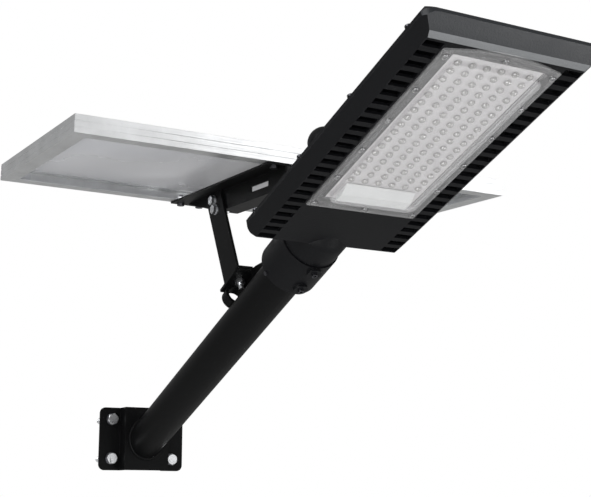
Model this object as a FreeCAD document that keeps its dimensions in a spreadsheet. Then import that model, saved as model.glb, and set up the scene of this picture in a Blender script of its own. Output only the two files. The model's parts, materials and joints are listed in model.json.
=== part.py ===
import FreeCAD, Part
import os
import re
import Sketcher

# Solar street lamp: a wall bracket carries a rising tube, the tube carries the lamp head, and a
# swivelling, tilting link on top of the tube carries the solar panel.
# Row frame: +X away from the wall, +Z up, origin at the centre of the bracket's back face.

DIMENSIONS = {
    # Wall bracket: a hat-shaped plate
    "plate_width": 150, "plate_height": 104, "plate_thick": 3, "plate_corner": 10,
    "hat_width": 78, "hat_rise": 25,
    "anchor_across": 108, "anchor_upright": 65, "anchor_size": 10, "anchor_hole": 11,
    "anchor_shank": 10.4, "anchor_behind": 60, "anchor_flats": 17, "anchor_head": 6.4,
    "anchor_washer": 20, "anchor_washer_thick": 2,
    # Arm tube
    "arm_pitch": 22.5, "tube_outer": 60, "tube_wall": 3, "tube_reach": 538, "tube_insert": 68,
    "weld_size": 5,
    # Socket of the lamp head
    "socket_gap": 0.2, "collar_outer": 84, "collar_length": 70, "collar_lead": 5, "collar_clear": 4,
    "seam_depth": 1.2,
    "barrel_outer": 80, "barrel_length": 32, "blend_length": 24, "blend_slope": 0.55, "wire_bore": 24,
    "socket_lead": 10, "wire_run": 30,
    "clamp_size": 8, "clamp_boss": 20, "clamp_boss_rise": 4, "clamp_first": 20, "clamp_spacing": 40,
    # Lamp head casting
    "head_pitch": 19.2, "head_ahead": 199, "head_drop": 33.7,
    "head_back": 97, "head_front": 333, "head_width": 237, "rim_height": 12, "rim_band": 5,
    "side_bevel": 15.5, "front_bevel": 22, "back_bevel": 2,
    "head_corner": 15, "casting_wall": 3, "floor_thick": 4,
    "vent_pitch": 16.8, "vent_width": 9.6, "vent_inner": 79.5, "vent_outer": 103, "vent_first": 88,
    "bay_width": 140, "bay_back": 60, "bay_front": 308,
    # Top cover
    "cover_top": 58, "cover_side_slope": 42, "cover_front_slope": 70, "cover_back_slope": 32,
    "fin_height": 6, "fin_thick": 2.5, "fin_pitch": 18, "gasket_thick": 2.5,
    "cover_screw_size": 4, "cover_boss": 14, "cover_boss_rise": 8, "cover_screw_inset": 9.5,
    "cover_screw_end": 22, "cover_screw_bite": 4, "cover_screw_high": 2.4, "screw_head_gap": 0.5,
    "hood_radius": 20, "hood_wall": 3, "hood_along": 82, "hood_inset": 14.5, "hood_sunk": 11.4,
    "grommet_size": 12, "grommet_lip": 2,
    "locating_screw_size": 6, "locating_screw_from": 6, "locating_screw_turn": 110,
    "clamp_head": 3,
    # Lens and light source
    "lens_back": 8, "lens_front": 297, "lens_width": 154, "lens_arch": 11, "lens_flange": 2.5,
    "lens_drop": 9, "lens_wall": 2, "tray_back": 12, "tray_front": 286, "tray_width": 122,
    "tray_corner": 12, "lens_screw_pitch": 57.65, "lens_screw_rows": 141.6, "lens_screw_size": 3,
    "lens_end_inset": 9, "lens_screw_head": 3.5, "lens_screw_high": 2.1, "screw_tip_gap": 0.5,
    "diffuser_gap": 0.5,
    "window_margin": 5, "board_thick": 1.6, "pad_thick": 0.3, "board_gap": 1,
    "sink_thick": 4, "sink_fin": 12, "chip_pitch": 14.2, "chip_row": 19, "chip_size": 3.5,
    "chip_thick": 0.8, "chip_first": 52, "diffuser_length": 30,
    # Battery and electronics
    "cell_size": 26, "cell_length": 65, "cell_gap": 1.2, "battery_from": 54, "tray_thick": 1.5,
    "strap_thick": 1, "strap_width": 12, "strap_gap": 0.5, "box_wall": 2, "bay_gap": 1,
    "controller_length": 48, "controller_width": 92, "controller_height": 30, "foot_size": 10,
    "driver_length": 48, "driver_width": 88, "driver_height": 24, "board_rise": 5,
    "choke_length": 18, "choke_width": 14, "choke_high": 10, "choke_ahead": 12, "choke_aside": 18,
    "terminal_length": 12, "terminal_width": 30, "terminal_high": 8, "terminal_behind": 16,
    "terminal_aside": 12,
    # Swivel seat on the tube
    "seat_reach": 422, "seat_side": -11, "seat_rise": 58, "link_lean": 3.5, "seat_thick": 4,
    "seat_length": 56, "seat_width": 34, "seat_ahead": 24, "strap_radius": 17,
    "strap_wall": 4.5, "strap_length": 16, "rib_thick": 6, "rib_length": 64, "rib_shoulder": 14,
    "rib_step": 4, "rib_toe": 3, "swivel_size": 8, "slide_washer": 2, "slide_washer_size": 17,
    "nut_flats": 13, "nut_high": 6.8, "head_high": 5.3, "bolt_spare": 9, "pin_gap": 0.05,
    "bore_reach": 20,
    # Link bar
    "link_width": 46, "link_thick": 4, "link_offset": 13, "foot_reach": 13, "pivot_rise": 140,
    "lock_drop": 17, "tilt_size": 8, "face_gap": 0.3, "washer_size": 16, "washer_thick": 1.6,
    "thread_end": 4, "notch_gap": 1.4, "gate_gap": 3,
    # Beam under the panel
    "panel_set": 3, "web_thick": 3, "web_depth": 33, "web_taper": 116, "brim_width": 26,
    "flange_width": 31, "ear_radius": 25, "tilt_up": 35, "tilt_down": 10, "lock_gap": 0.4,
    "cable_slot": 55, "cable_slot_high": 8, "cable_slot_at": 142, "beam_bolt": 6, "beam_tab": 26,
    "beam_end_gap": 1, "beam_bolt_in": 10, "beam_step": 11, "beam_bolt_end": 8,
    "beam_flats": 10, "beam_head": 4,
    # Solar panel
    "panel_length": 667, "panel_depth": 340, "panel_thick": 24, "panel_ahead": 51.5,
    "panel_aside": 26, "panel_above": 15.7, "rail_wall": 1.6, "rail_foot": 22, "rail_lip": 9,
    "glass_gap": 0.1, "cell_thick": 1, "sheet_thick": 0.5, "glass_seat": 18,
    "groove_deep": 0.6, "groove_high": 1.2, "groove_low": 7, "groove_pitch": 8,
    "laminate_gap": 0.5, "cell_border": 14, "cell_space": 3, "key_leg": 40, "key_thick": 10, "key_gap": 0.2,
    "junction_length": 80, "junction_width": 62, "junction_deep": 13, "junction_lid": 2.5,
    "junction_aside": 190, "gland_size": 14, "gland_length": 16,
}
VENTS = 24
LENS_SCREWS = 6
CHIP_ROWS = 17
CHIP_COLUMNS = 6
CELL_ROWS = 4
CELL_COLUMNS = 9
CELLS_ALONG = 3
CELLS_ACROSS = 4

document = FreeCAD.newDocument("SolarStreetLamp")
sheet = document.addObject("Spreadsheet::Sheet", "Sizes")
for row, (alias, number) in enumerate(DIMENSIONS.items(), start=1):
    sheet.set(f"A{row}", alias)
    sheet.set(f"B{row}", str(number))
    sheet.setAlias(f"B{row}", alias)
document.recompute()

nodes = []


# ---------------------------------------------------------------- helpers

def formula(text):
    """Point every dimension name in an expression at its cell of the sheet."""
    return re.sub(r"[a-z_]\w+", lambda found: cell_name(found[0]), str(text))


def cell_name(word):
    """Return the sheet reference of a dimension, and any other word unchanged."""
    return f"Sizes.{word}" if word in DIMENSIONS else word


def bind(item, sizes):
    """Bind each property of an item to an expression of the sheet's dimensions."""
    for name, text in sizes.items():
        item.setExpression(name, formula(text))
    return item


def locate(item, at, axis=(0, 0, 1), angle="0"):
    """Bind an item's place, and its turn about one axis, to expressions."""
    item.Placement = FreeCAD.Placement(FreeCAD.Vector(), FreeCAD.Rotation(FreeCAD.Vector(*axis), 1))
    bind(item, {"Placement.Base.x": at[0], "Placement.Base.y": at[1], "Placement.Base.z": at[2]})
    return bind(item, {"Placement.Rotation.Angle": angle})


def box(size, at):
    """Make a block from its lowest corner."""
    item = document.addObject("Part::Box", "Block")
    bind(item, {"Length": size[0], "Width": size[1], "Height": size[2]})
    return locate(item, at)


def slab(length, width, height, at):
    """Make a block centred in X and Y on a point of its lower face."""
    corner = (f"({at[0]}) - ({length}) / 2", f"({at[1]}) - ({width}) / 2", at[2])
    return box((length, width, height), corner)


TURNS = {"X": ((0, 1, 0), "90"), "Y": ((1, 0, 0), "-90"), "Z": ((0, 0, 1), "0")}


def rod(radius, length, at, along="Z"):
    """Make a cylinder that starts at a point and runs along a positive axis."""
    item = document.addObject("Part::Cylinder", "Rod")
    bind(item, {"Radius": radius, "Height": length})
    return locate(item, at, *TURNS[along])


def cone(start_radius, end_radius, length, at, along="Z"):
    """Make a cone or a frustum that starts at a point and runs along a positive axis."""
    item = document.addObject("Part::Cone", "Cone")
    bind(item, {"Radius1": start_radius, "Radius2": end_radius, "Height": length})
    return locate(item, at, *TURNS[along])


def hexagon(flats, height, at, along="Z"):
    """Make a hexagonal prism, as a bolt's head or a nut."""
    item = document.addObject("Part::Prism", "Hexagon")
    item.Polygon = 6
    bind(item, {"Circumradius": f"({flats}) / sqrt(3)", "Height": height})
    return locate(item, at, *TURNS[along])


def ball(radius, at):
    """Make a sphere about a point."""
    item = document.addObject("Part::Sphere", "Ball")
    bind(item, {"Radius": radius})
    return locate(item, at)


def frustum(base, top, low, high):
    """Make a tapered block: base and top are (back, front, half width), low and high are heights."""
    item = document.addObject("Part::Wedge", "Frustum")
    bind(item, {"Xmin": f"-({base[0]})", "Xmax": base[1], "Zmin": f"-({base[2]})", "Zmax": base[2]})
    bind(item, {"X2min": f"-({top[0]})", "X2max": top[1], "Z2min": f"-({top[2]})", "Z2max": top[2]})
    bind(item, {"Ymin": low, "Ymax": high})
    return locate(item, ("0", "0", "0"), (1, 0, 0), "90")


def fuse(*items):
    """Join items into one solid."""
    item = document.addObject("Part::MultiFuse", "Joined")
    item.Shapes = list(items)
    return item


def cut(base, *tools):
    """Remove tools from a base."""
    item = document.addObject("Part::Cut", "Trimmed")
    item.Base = base
    item.Tool = tools[0] if len(tools) == 1 else fuse(*tools)
    return item


def common(first, second):
    """Keep what two items share."""
    item = document.addObject("Part::Common", "Shared")
    item.Base = first
    item.Tool = second
    return item


PLANES = {"XY": "XY_Plane", "XZ": "XZ_Plane", "YZ": "YZ_Plane"}


def pad(plane, points, length, start="0", symmetric=False, reverse=False):
    """Pad a closed outline of points (across, up) on an origin plane of a new body."""
    body = document.addObject("PartDesign::Body", "Body")
    sketch = body.newObject("Sketcher::SketchObject", "Outline")
    feature = next(item for item in body.Origin.OriginFeatures if item.Role == PLANES[plane])
    sketch.AttachmentSupport = (feature, [""])
    sketch.MapMode = "FlatFace"
    sketch.AttachmentOffset = FreeCAD.Placement()
    bind(sketch, {"AttachmentOffset.Base.z": start})
    places = [tuple(evaluate(text) for text in point) for point in points]
    total = len(points)
    for index in range(total):
        first = FreeCAD.Vector(*places[index], 0)
        last = FreeCAD.Vector(*places[(index + 1) % total], 0)
        sketch.addGeometry(Part.LineSegment(first, last))
    for index in range(total):
        sketch.addConstraint(Sketcher.Constraint("Coincident", index, 2, (index + 1) % total, 1))
    for index, point in enumerate(points):
        for kind, text, number in zip(("DistanceX", "DistanceY"), point, places[index]):
            place = sketch.addConstraint(Sketcher.Constraint(kind, -1, 1, index, 1, number))
            sketch.setExpression(f"Constraints[{place}]", formula(text))
    feature = body.newObject("PartDesign::Pad", "Pad")
    feature.Profile = sketch
    feature.Reversed = reverse
    feature.SideType = "Symmetric" if symmetric else "One side"
    bind(feature, {"Length": length})
    return body


def evaluate(text):
    """Work out an expression's number from the driving dimensions."""
    return float(sheet.evalExpression(formula(text)))


def rounded(length, width, height, radius, at):
    """Make a block with round upright corners, centred in X and Y on a point of its lower face."""
    parts = [slab(f"({length}) - 2 * ({radius})", width, height, at)]
    parts.append(slab(length, f"({width}) - 2 * ({radius})", height, at))
    for across in (-1, 1):
        for along in (-1, 1):
            x = f"({at[0]}) + {across} * (({length}) / 2 - ({radius}))"
            y = f"({at[1]}) + {along} * (({width}) / 2 - ({radius}))"
            parts.append(rod(radius, height, (x, y, at[2])))
    return fuse(*parts)


# ---------------------------------------------------------------- places of the sub-assemblies

FACE = "(plate_thick + hat_rise)"
LEAN = "(arm_pitch + link_lean)"
HEAD_REACH = "(tube_reach + head_ahead)"
SEAT_X = f"({FACE} + seat_reach * cos(arm_pitch) - seat_rise * sin(arm_pitch))"
SEAT_Z = "(seat_reach * sin(arm_pitch) + seat_rise * cos(arm_pitch))"
FRAMES = {
    "wall": ("0", "0", "0", "0"),
    "arm": (FACE, "0", "0", "arm_pitch"),
    "head": (
        f"{FACE} + {HEAD_REACH} * cos(arm_pitch) + head_drop * sin(arm_pitch)",
        "0",
        f"{HEAD_REACH} * sin(arm_pitch) - head_drop * cos(arm_pitch)",
        "head_pitch",
    ),
    "link": (SEAT_X, "seat_side", SEAT_Z, LEAN),
    "panel": (
        f"{SEAT_X} - pivot_rise * sin{LEAN}",
        "seat_side",
        f"{SEAT_Z} + pivot_rise * cos{LEAN}",
        "-panel_set",
    ),
}


def place(item, frame):
    """Put an item that is built about its sub-assembly's own origin in its place."""
    x, y, z, pitch = FRAMES[frame]
    return locate(item, (x, y, z), (0, -1, 0), pitch)


def node(label, frame, *items):
    """Gather a piece's solids, built in a sub-assembly's frame, under one label."""
    item = document.addObject("Part::Compound", "Piece")
    item.Links = list(items)
    item.Label = label
    place(item, frame)
    nodes.append(item)
    return item


def sides(*signs):
    """Yield every pair of signs, for pieces that repeat on both sides of two axes."""
    for first in signs:
        for second in signs:
            yield first, second


# ---------------------------------------------------------------- wall bracket

def wall_bracket():
    """Hat-section plate: two flanges with anchor holes and a raised middle for the tube."""
    edge, hat, skin = "plate_width / 2", "hat_width / 2", "plate_thick"
    half = [("0", f"{hat} - {skin}"), ("0", edge), (skin, edge), (skin, hat), (FACE, hat)]
    outline = [(f"{FACE} - {skin}", f"{hat} - {skin}"), *half]
    outline += [(x, f"-({y})") for x, y in reversed(outline)]
    plate = pad("XY", outline, "plate_height", symmetric=True)
    blank = rounded("plate_height", "plate_width", "hat_rise + 2 * plate_thick", "plate_corner",
                    ("0", "0", "-(hat_rise + 2 * plate_thick)"))
    locate(blank, ("0", "0", "0"), (0, 1, 0), "-90")
    holes = [rod("anchor_hole / 2", "3 * plate_thick", ("-plate_thick", y, z), "X")
             for y, z in anchor_places()]
    node("wall_bracket", "wall", cut(common(plate, blank), *holes))


def anchor_places():
    """Yield the place of each anchor on the bracket."""
    for across, upright in sides(-1, 1):
        yield f"{across} * anchor_across / 2", f"{upright} * anchor_upright / 2"


def anchors():
    """Hexagon bolts that hold the bracket, and their washers."""
    bolts = []
    washers = []
    for y, z in anchor_places():
        seat = "plate_thick + anchor_washer_thick"
        stud = rod("anchor_size / 2", "anchor_behind", ("-anchor_behind", y, z), "X")
        shank = rod("anchor_shank / 2", seat, ("0", y, z), "X")
        bolts.append(fuse(stud, shank, hexagon("anchor_flats", "anchor_head", (seat, y, z), "X")))
        disc = rod("anchor_washer / 2", "anchor_washer_thick", ("plate_thick", y, z), "X")
        bore = rod("anchor_hole / 2", "3 * anchor_washer_thick", ("0", y, z), "X")
        washers.append(cut(disc, bore))
    node("anchor_bolts", "wall", *bolts)
    node("anchor_washers", "wall", *washers)


# ---------------------------------------------------------------- arm tube

def tube_solid(radius, start="-tube_outer", end="tube_reach + tube_insert"):
    """Solid cylinder on the arm's axis, in the row frame."""
    item = rod(radius, f"({end}) - ({start})", ("0", "0", "0"), "X")
    x = f"{FACE} + ({start}) * cos(arm_pitch)"
    return locate(item, (x, "0", f"({start}) * sin(arm_pitch)"), (0, 1, 0), "90 - arm_pitch")


def arm_tube():
    """Round tube, mitred against the bracket's raised face, and its weld bead."""
    behind = slab("4 * tube_outer", "4 * tube_outer", "8 * tube_outer",
                  (f"{FACE} - 2 * tube_outer", "0", "-4 * tube_outer"))
    bore = tube_solid("tube_outer / 2 - tube_wall", end="tube_reach + 2 * tube_insert")
    node("arm_tube", "wall", cut(tube_solid("tube_outer / 2"), behind, bore))
    bead = tube_solid("tube_outer / 2 + weld_size", end="3 * tube_outer")
    layer = slab("weld_size", "plate_width", "plate_height",
                 (f"{FACE} + weld_size / 2", "0", "-plate_height / 2"))
    node("arm_weld", "wall", cut(common(bead, layer), tube_solid("tube_outer / 2")))


# ---------------------------------------------------------------- lamp head casting

RISE = "(arm_pitch - head_pitch)"
COLLAR_END = "(tube_reach + collar_length)"


def socket_rod(radius, start, length, end_radius=None):
    """Cylinder or cone on the tube's axis, in the head's frame, from a distance along the tube."""
    item = rod(radius, length, ("0", "0", "0")) if end_radius is None else cone(
        radius, end_radius, length, ("0", "0", "0"))
    x = f"(({start}) - {HEAD_REACH}) * cos{RISE} - head_drop * sin{RISE}"
    z = f"(({start}) - {HEAD_REACH}) * sin{RISE} + head_drop * cos{RISE}"
    return locate(item, (x, "0", z), (0, 1, 0), f"90 - {RISE}")


def on_tube(item, along):
    """Put an item that is built about the tube's axis at a distance along the tube."""
    held = document.addObject("Part::Compound", "Held")
    held.Links = [item]
    x = f"(({along}) - {HEAD_REACH}) * cos{RISE} - head_drop * sin{RISE}"
    z = f"(({along}) - {HEAD_REACH}) * sin{RISE} + head_drop * cos{RISE}"
    return locate(held, (x, "0", z), (0, -1, 0), RISE)


def clamp_places():
    """Yield the distance of each clamp screw along the tube."""
    for index in range(2):
        yield f"tube_reach + clamp_first + {index} * clamp_spacing"


def under_socket(radius, along, low, high):
    """Upright cylinder below the socket between two distances from the tube's axis."""
    return on_tube(rod(radius, f"({high}) - ({low})", ("0", "0", f"-({high})")), along)


def beside_socket(radius, low, high):
    """Cylinder beside the socket for the locating screw between two distances from the axis."""
    item = document.addObject("Part::Compound", "Turned")
    item.Links = [rod(radius, f"({high}) - ({low})", ("0", "0", low))]
    locate(item, ("0", "0", "0"), (1, 0, 0), "locating_screw_turn")
    return on_tube(item, "tube_reach + locating_screw_from")


def casting_block(inset, low, band):
    """Tapered tray of the casting, or with an inset its inside above the floor."""
    side, back, front = "head_width / 2", "head_back", "head_front"
    base = (f"{back} - back_bevel - {inset}", f"{front} - front_bevel - {inset}",
            f"{side} - side_bevel - {inset}")
    top = (f"{back} - {inset}", f"{front} - {inset}", f"{side} - {inset}")
    tray = frustum(base, top, low, "rim_height")
    length = f"{back} + {front} - 2 * {inset}"
    rim = slab(length, f"head_width - 2 * {inset}", band, (f"({front} - {back}) / 2", "0", "rim_height"))
    return common(fuse(tray, rim), outline_block(inset))


def outline_block(inset):
    """Tall block with the head's outline and its round corners, or with an inset its inside."""
    return rounded(f"head_back + head_front - 2 * ({inset})", f"head_width - 2 * ({inset})",
                   "4 * cover_top", f"head_corner - {inset}",
                   ("(head_front - head_back) / 2", "0", "-2 * cover_top"))


def vents(side):
    """Row of vent slots through the floor along one side."""
    length = "vent_outer - vent_inner"
    for index in range(VENTS):
        x = f"{index} * vent_pitch - vent_first"
        yield slab("vent_width", length, "3 * floor_thick",
                   (x, f"{side} * (vent_outer + vent_inner) / 2", "-floor_thick"))


def cover_screw_places():
    """Yield the place of each cover screw along both long sides."""
    for side in (-1, 1):
        for index in range(4):
            x = f"{index} * (head_back + head_front - 3 * cover_screw_end) / 3 - head_back + cover_screw_end"
            yield x, f"{side} * (head_width / 2 - cover_screw_inset)"


def lens_screw_places():
    """Yield the place of each lens screw: two rows, and one at the middle of each end."""
    for side in (-1, 1):
        for index in range(LENS_SCREWS):
            yield f"{index} * lens_screw_pitch", f"{side} * lens_screw_rows / 2"
    yield "0", "0"
    yield "lens_front + lens_arch - lens_end_inset", "0"


def head_housing():
    """Casting: tapered tray with rim, vents, lens window, bay walls and the tube socket."""
    collar = socket_rod("collar_outer / 2", "tube_reach + collar_lead",
                        "collar_length - collar_lead")
    lead = socket_rod("collar_outer / 2 - collar_lead", "tube_reach", "collar_lead",
                      "collar_outer / 2")
    barrel = socket_rod("barrel_outer / 2", COLLAR_END, "barrel_length")
    blend = socket_rod("barrel_outer / 2", f"{COLLAR_END} + barrel_length", "blend_length",
                       "barrel_outer / 2 - blend_slope * blend_length")
    bosses = [under_socket("clamp_boss / 2", along, "tube_outer / 2",
                           "collar_outer / 2 + clamp_boss_rise") for along in clamp_places()]
    outside = fuse(casting_block("0", "0", "rim_band"), collar, lead, barrel, blend, *bosses)
    hollow = casting_block("casting_wall", "floor_thick", "2 * rim_band")
    socket = socket_rod("tube_outer / 2 + socket_gap", "tube_reach - socket_lead",
                        "tube_insert + socket_gap + socket_lead")
    wire = socket_rod("wire_bore / 2", "tube_reach", "collar_length + barrel_length + wire_run")
    seam = cut(socket_rod("collar_outer", f"{COLLAR_END} - 1", "2"),
               socket_rod("barrel_outer / 2 - seam_depth", f"{COLLAR_END} - 2", "4"))
    threads = [under_socket("clamp_size / 2", along, "0", "collar_outer") for along in clamp_places()]
    threads.append(beside_socket("locating_screw_size / 2", "0", "collar_outer"))
    window = slab("tray_front - tray_back + 2 * window_margin", "tray_width", "3 * floor_thick",
                  ("(tray_front + tray_back) / 2", "0", "-floor_thick"))
    holes = [rod("lens_screw_size / 2 + pin_gap", "floor_thick + 1", (x, y, "-1"))
             for x, y in lens_screw_places()]
    tray = cut(outside, hollow, socket, wire, seam, window, *threads, *holes, *vents(-1), *vents(1))
    walls = cut(common(bay_ring(), cover_block("casting_wall + gasket_thick", "floor_thick")),
                socket_rod("wire_bore / 2", "tube_reach", "head_ahead"))
    posts = [cut(rod("cover_boss / 2 - casting_wall / 2", "rim_height + rim_band - floor_thick",
                     (x, y, "floor_thick")),
                 rod("cover_screw_size / 2 + pin_gap", "2 * rim_height",
                     (x, y, "rim_height + rim_band - cover_screw_bite")))
             for x, y in cover_screw_places()]
    posts = [common(post, casting_block("0", "0", "rim_band")) for post in posts]
    node("head_housing", "head", fuse(tray, walls, *posts))


def bay_ring():
    """Upright ring of the dry bay's walls, higher than the cover."""
    middle = ("(bay_front - bay_back) / 2", "0", "floor_thick")
    return cut(slab("bay_front + bay_back", "bay_width", "cover_top", middle),
               slab("bay_front + bay_back - 2 * casting_wall", "bay_width - 2 * casting_wall",
                    "2 * cover_top", ("(bay_front - bay_back) / 2", "0", "0")))


def cover_block(inset, floor=None):
    """Tapered outside of the top cover, or with an inset its inside, down to a floor if asked."""
    low = "(rim_height + rim_band)"
    base = (f"head_back - ({inset})", f"head_front - ({inset})", f"head_width / 2 - ({inset})")
    top = (f"head_back - cover_back_slope - ({inset})", f"head_front - cover_front_slope - ({inset})",
           f"head_width / 2 - cover_side_slope - ({inset})")
    high = f"cover_top - ({inset})"
    block = common(frustum(base, top, low, high), outline_block(inset))
    if floor is None:
        return block
    return fuse(block, frustum(base, base, floor, low))


def neck_clearance():
    """Space that the cover leaves round the neck of the socket."""
    barrel = socket_rod("barrel_outer / 2 + face_gap", "tube_reach", "collar_length + barrel_length")
    blend = socket_rod("barrel_outer / 2 + face_gap", f"{COLLAR_END} + barrel_length",
                       "blend_length + face_gap", "barrel_outer / 2 - blend_slope * blend_length + face_gap")
    return fuse(barrel, blend)


def top_cover():
    """Tapered shell with cooling fins on its top and screw bosses along its long edges."""
    low = "(rim_height + rim_band)"
    fins = [slab("head_back + head_front - cover_front_slope - cover_back_slope", "fin_thick",
                 "fin_height + 1", ("(head_front - head_back - cover_front_slope + cover_back_slope) / 2",
                                    f"{index} * fin_pitch", "cover_top - 1"))
            for index in range(-3, 4)]
    bosses = [common(rod("cover_boss / 2", "cover_top", (x, y, low)), cover_block("0"))
              for x, y in cover_screw_places()]
    holes = [fuse(rod("cover_screw_size / 2 + pin_gap", "2 * cover_top", (x, y, "0")),
                  rod("cover_screw_size + screw_head_gap", "cover_top",
                      (x, y, f"{low} + cover_boss_rise")))
             for x, y in cover_screw_places()]
    inside = cover_block("casting_wall")
    shell = cut(fuse(cut(cover_block("0"), inside), *fins), neck_clearance())
    node("top_cover", "head", cut(fuse(shell, *bosses), hood_rod("grommet_size / 2", "-3 * grommet_size",
                                                                 "grommet_size"), *holes))
    screws = [fuse(rod("cover_screw_size / 2", "cover_boss_rise + cover_screw_bite",
                       (x, y, f"{low} - cover_screw_bite")),
                   rod("cover_screw_size", "cover_screw_high",
                       (x, y, f"{low} + cover_boss_rise")))
              for x, y in cover_screw_places()]
    node("cover_screws", "head", *screws)
    seal = cut(cover_block("casting_wall"), cover_block("casting_wall + gasket_thick", "floor_thick"))
    node("cover_gasket", "head", common(bay_ring(), seal))


HOOD_Y = "(hood_inset - head_width / 2)"
HOOD_Z = "(rim_height + rim_band + hood_inset * (cover_top - rim_height - rim_band) / cover_side_slope)"


def hood_rod(radius, low, high):
    """Cylinder square to the cover's sloping side between two distances from its surface."""
    y = f"{HOOD_Y} - ({low}) * sin(45)"
    z = f"{HOOD_Z} + ({low}) * cos(45)"
    return locate(rod(radius, f"({high}) - ({low})", ("0", "0", "0")), ("hood_along", y, z),
                  (1, 0, 0), "45")


def inlet_hood():
    """Low dome over the panel lead's inlet on the cover's side, and the inlet's grommet."""
    at = ("hood_along", f"{HOOD_Y} + hood_sunk * sin(45)", f"{HOOD_Z} - hood_sunk * cos(45)")
    mouth = slab("hood_radius", "2 * hood_radius", "3 * hood_radius",
                 ("hood_along - 0.9 * hood_radius", f"{HOOD_Y} - hood_radius", "rim_height"))
    dome = cut(ball("hood_radius", at), ball("hood_radius - hood_wall", at), cover_block("0"),
               casting_block("0", "0", "rim_band"), mouth)
    node("inlet_hood", "head", dome)
    node("inlet_grommet", "head", cut(hood_rod("grommet_size / 2", "-casting_wall", "grommet_lip"),
                                      hood_rod("grommet_size / 4", "-grommet_size", "grommet_size")))


# ---------------------------------------------------------------- lens and light source

WINDOW_MIDDLE = "(tray_front + tray_back) / 2"
TRAY_LOW = "(floor_thick + sink_thick + sink_fin)"
TRAY_HIGH = f"({TRAY_LOW} + tray_thick)"
BATTERY_LENGTH = f"({CELLS_ALONG} * (cell_length + cell_gap) + cell_gap)"


def lens_cover():
    """Clear cover: a flange with an arched far edge and a raised tray with round corners."""
    arch = pad("XY", [("-lens_back", "-lens_width / 2"), ("lens_front", "-lens_width / 2"),
                      ("lens_front + lens_arch * 0.75", "-lens_width / 4"),
                      ("lens_front + lens_arch", "-lens_width / 12"),
                      ("lens_front + lens_arch", "lens_width / 12"),
                      ("lens_front + lens_arch * 0.75", "lens_width / 4"),
                      ("lens_front", "lens_width / 2"), ("-lens_back", "lens_width / 2")],
               "lens_flange", start="-lens_flange")
    length = "tray_front - tray_back"
    tray = rounded(length, "tray_width", "lens_drop", "tray_corner", (WINDOW_MIDDLE, "0", "-lens_drop"))
    inside = rounded(f"{length} - 2 * lens_wall", "tray_width - 2 * lens_wall", "lens_drop",
                     "tray_corner - lens_wall", (WINDOW_MIDDLE, "0", "lens_wall - lens_drop"))
    holes = [rod("lens_screw_size / 2 + pin_gap", "2 * lens_flange", (x, y, "-1.5 * lens_flange"))
             for x, y in lens_screw_places()]
    node("lens_cover", "head", cut(fuse(arch, tray), inside, *holes))
    screws = [fuse(rod("lens_screw_size / 2", "lens_flange + floor_thick - screw_tip_gap",
                       (x, y, "-lens_flange")),
                   rod("lens_screw_head", "lens_screw_high",
                       (x, y, "-lens_flange - lens_screw_high")))
              for x, y in lens_screw_places()]
    node("lens_screws", "head", *screws)
    block = frustum(("-tray_back - lens_wall - 1", "tray_back + lens_wall + diffuser_length / 2",
                     "tray_width / 2 - tray_corner"),
                    ("-tray_back - lens_wall - 1", "tray_back + lens_wall + diffuser_length",
                     "tray_width / 2 - tray_corner"), "lens_wall - lens_drop + diffuser_gap", "0")
    node("end_diffuser", "head", block)


def strap_places():
    """Yield the place of each battery strap along the head."""
    for share in (1, 3):
        yield f"battery_from + {share} * {BATTERY_LENGTH} / 4"


def light_source():
    """Light-emitting diodes on their board, the thermal pad and the finned heat sink."""
    board_top = "(floor_thick - pad_thick)"
    board_low = f"({board_top} - board_thick)"
    length = "tray_front - tray_back + 2 * window_margin - 2 * board_gap"
    board = ("tray_width - 2 * board_gap", "board_thick", (WINDOW_MIDDLE, "0", board_low))
    node("led_board", "head", slab(length, *board))
    chips = [slab("chip_size", "chip_size", "chip_thick",
                  (f"chip_first + {row} * chip_pitch",
                   f"({column} - {CHIP_COLUMNS - 1} / 2) * chip_row", f"{board_low} - chip_thick"))
             for row in range(CHIP_ROWS) for column in range(CHIP_COLUMNS)]
    node("led_chips", "head", *chips)
    node("thermal_pad", "head", slab(length, "tray_width - 2 * board_gap", "pad_thick",
                                     (WINDOW_MIDDLE, "0", board_top)))
    sink_length = "tray_front - tray_back + 4 * window_margin"
    plate = slab(sink_length, "bay_width - 2 * casting_wall - 2", "sink_thick",
                 (WINDOW_MIDDLE, "0", "floor_thick"))
    fins = [slab(sink_length, "fin_thick", "sink_fin + 1",
                 (WINDOW_MIDDLE, f"{index} * fin_pitch * 2 / 3", "floor_thick + sink_thick - 1"))
            for index in range(-5, 6)]
    grooves = [slab("strap_width + 2 * strap_gap", "bay_width", "sink_fin",
                    (at, "0", f"{TRAY_LOW} - strap_thick - pin_gap")) for at in strap_places()]
    node("heat_sink", "head", cut(fuse(plate, *fins), *grooves))


# ---------------------------------------------------------------- battery and electronics


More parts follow.
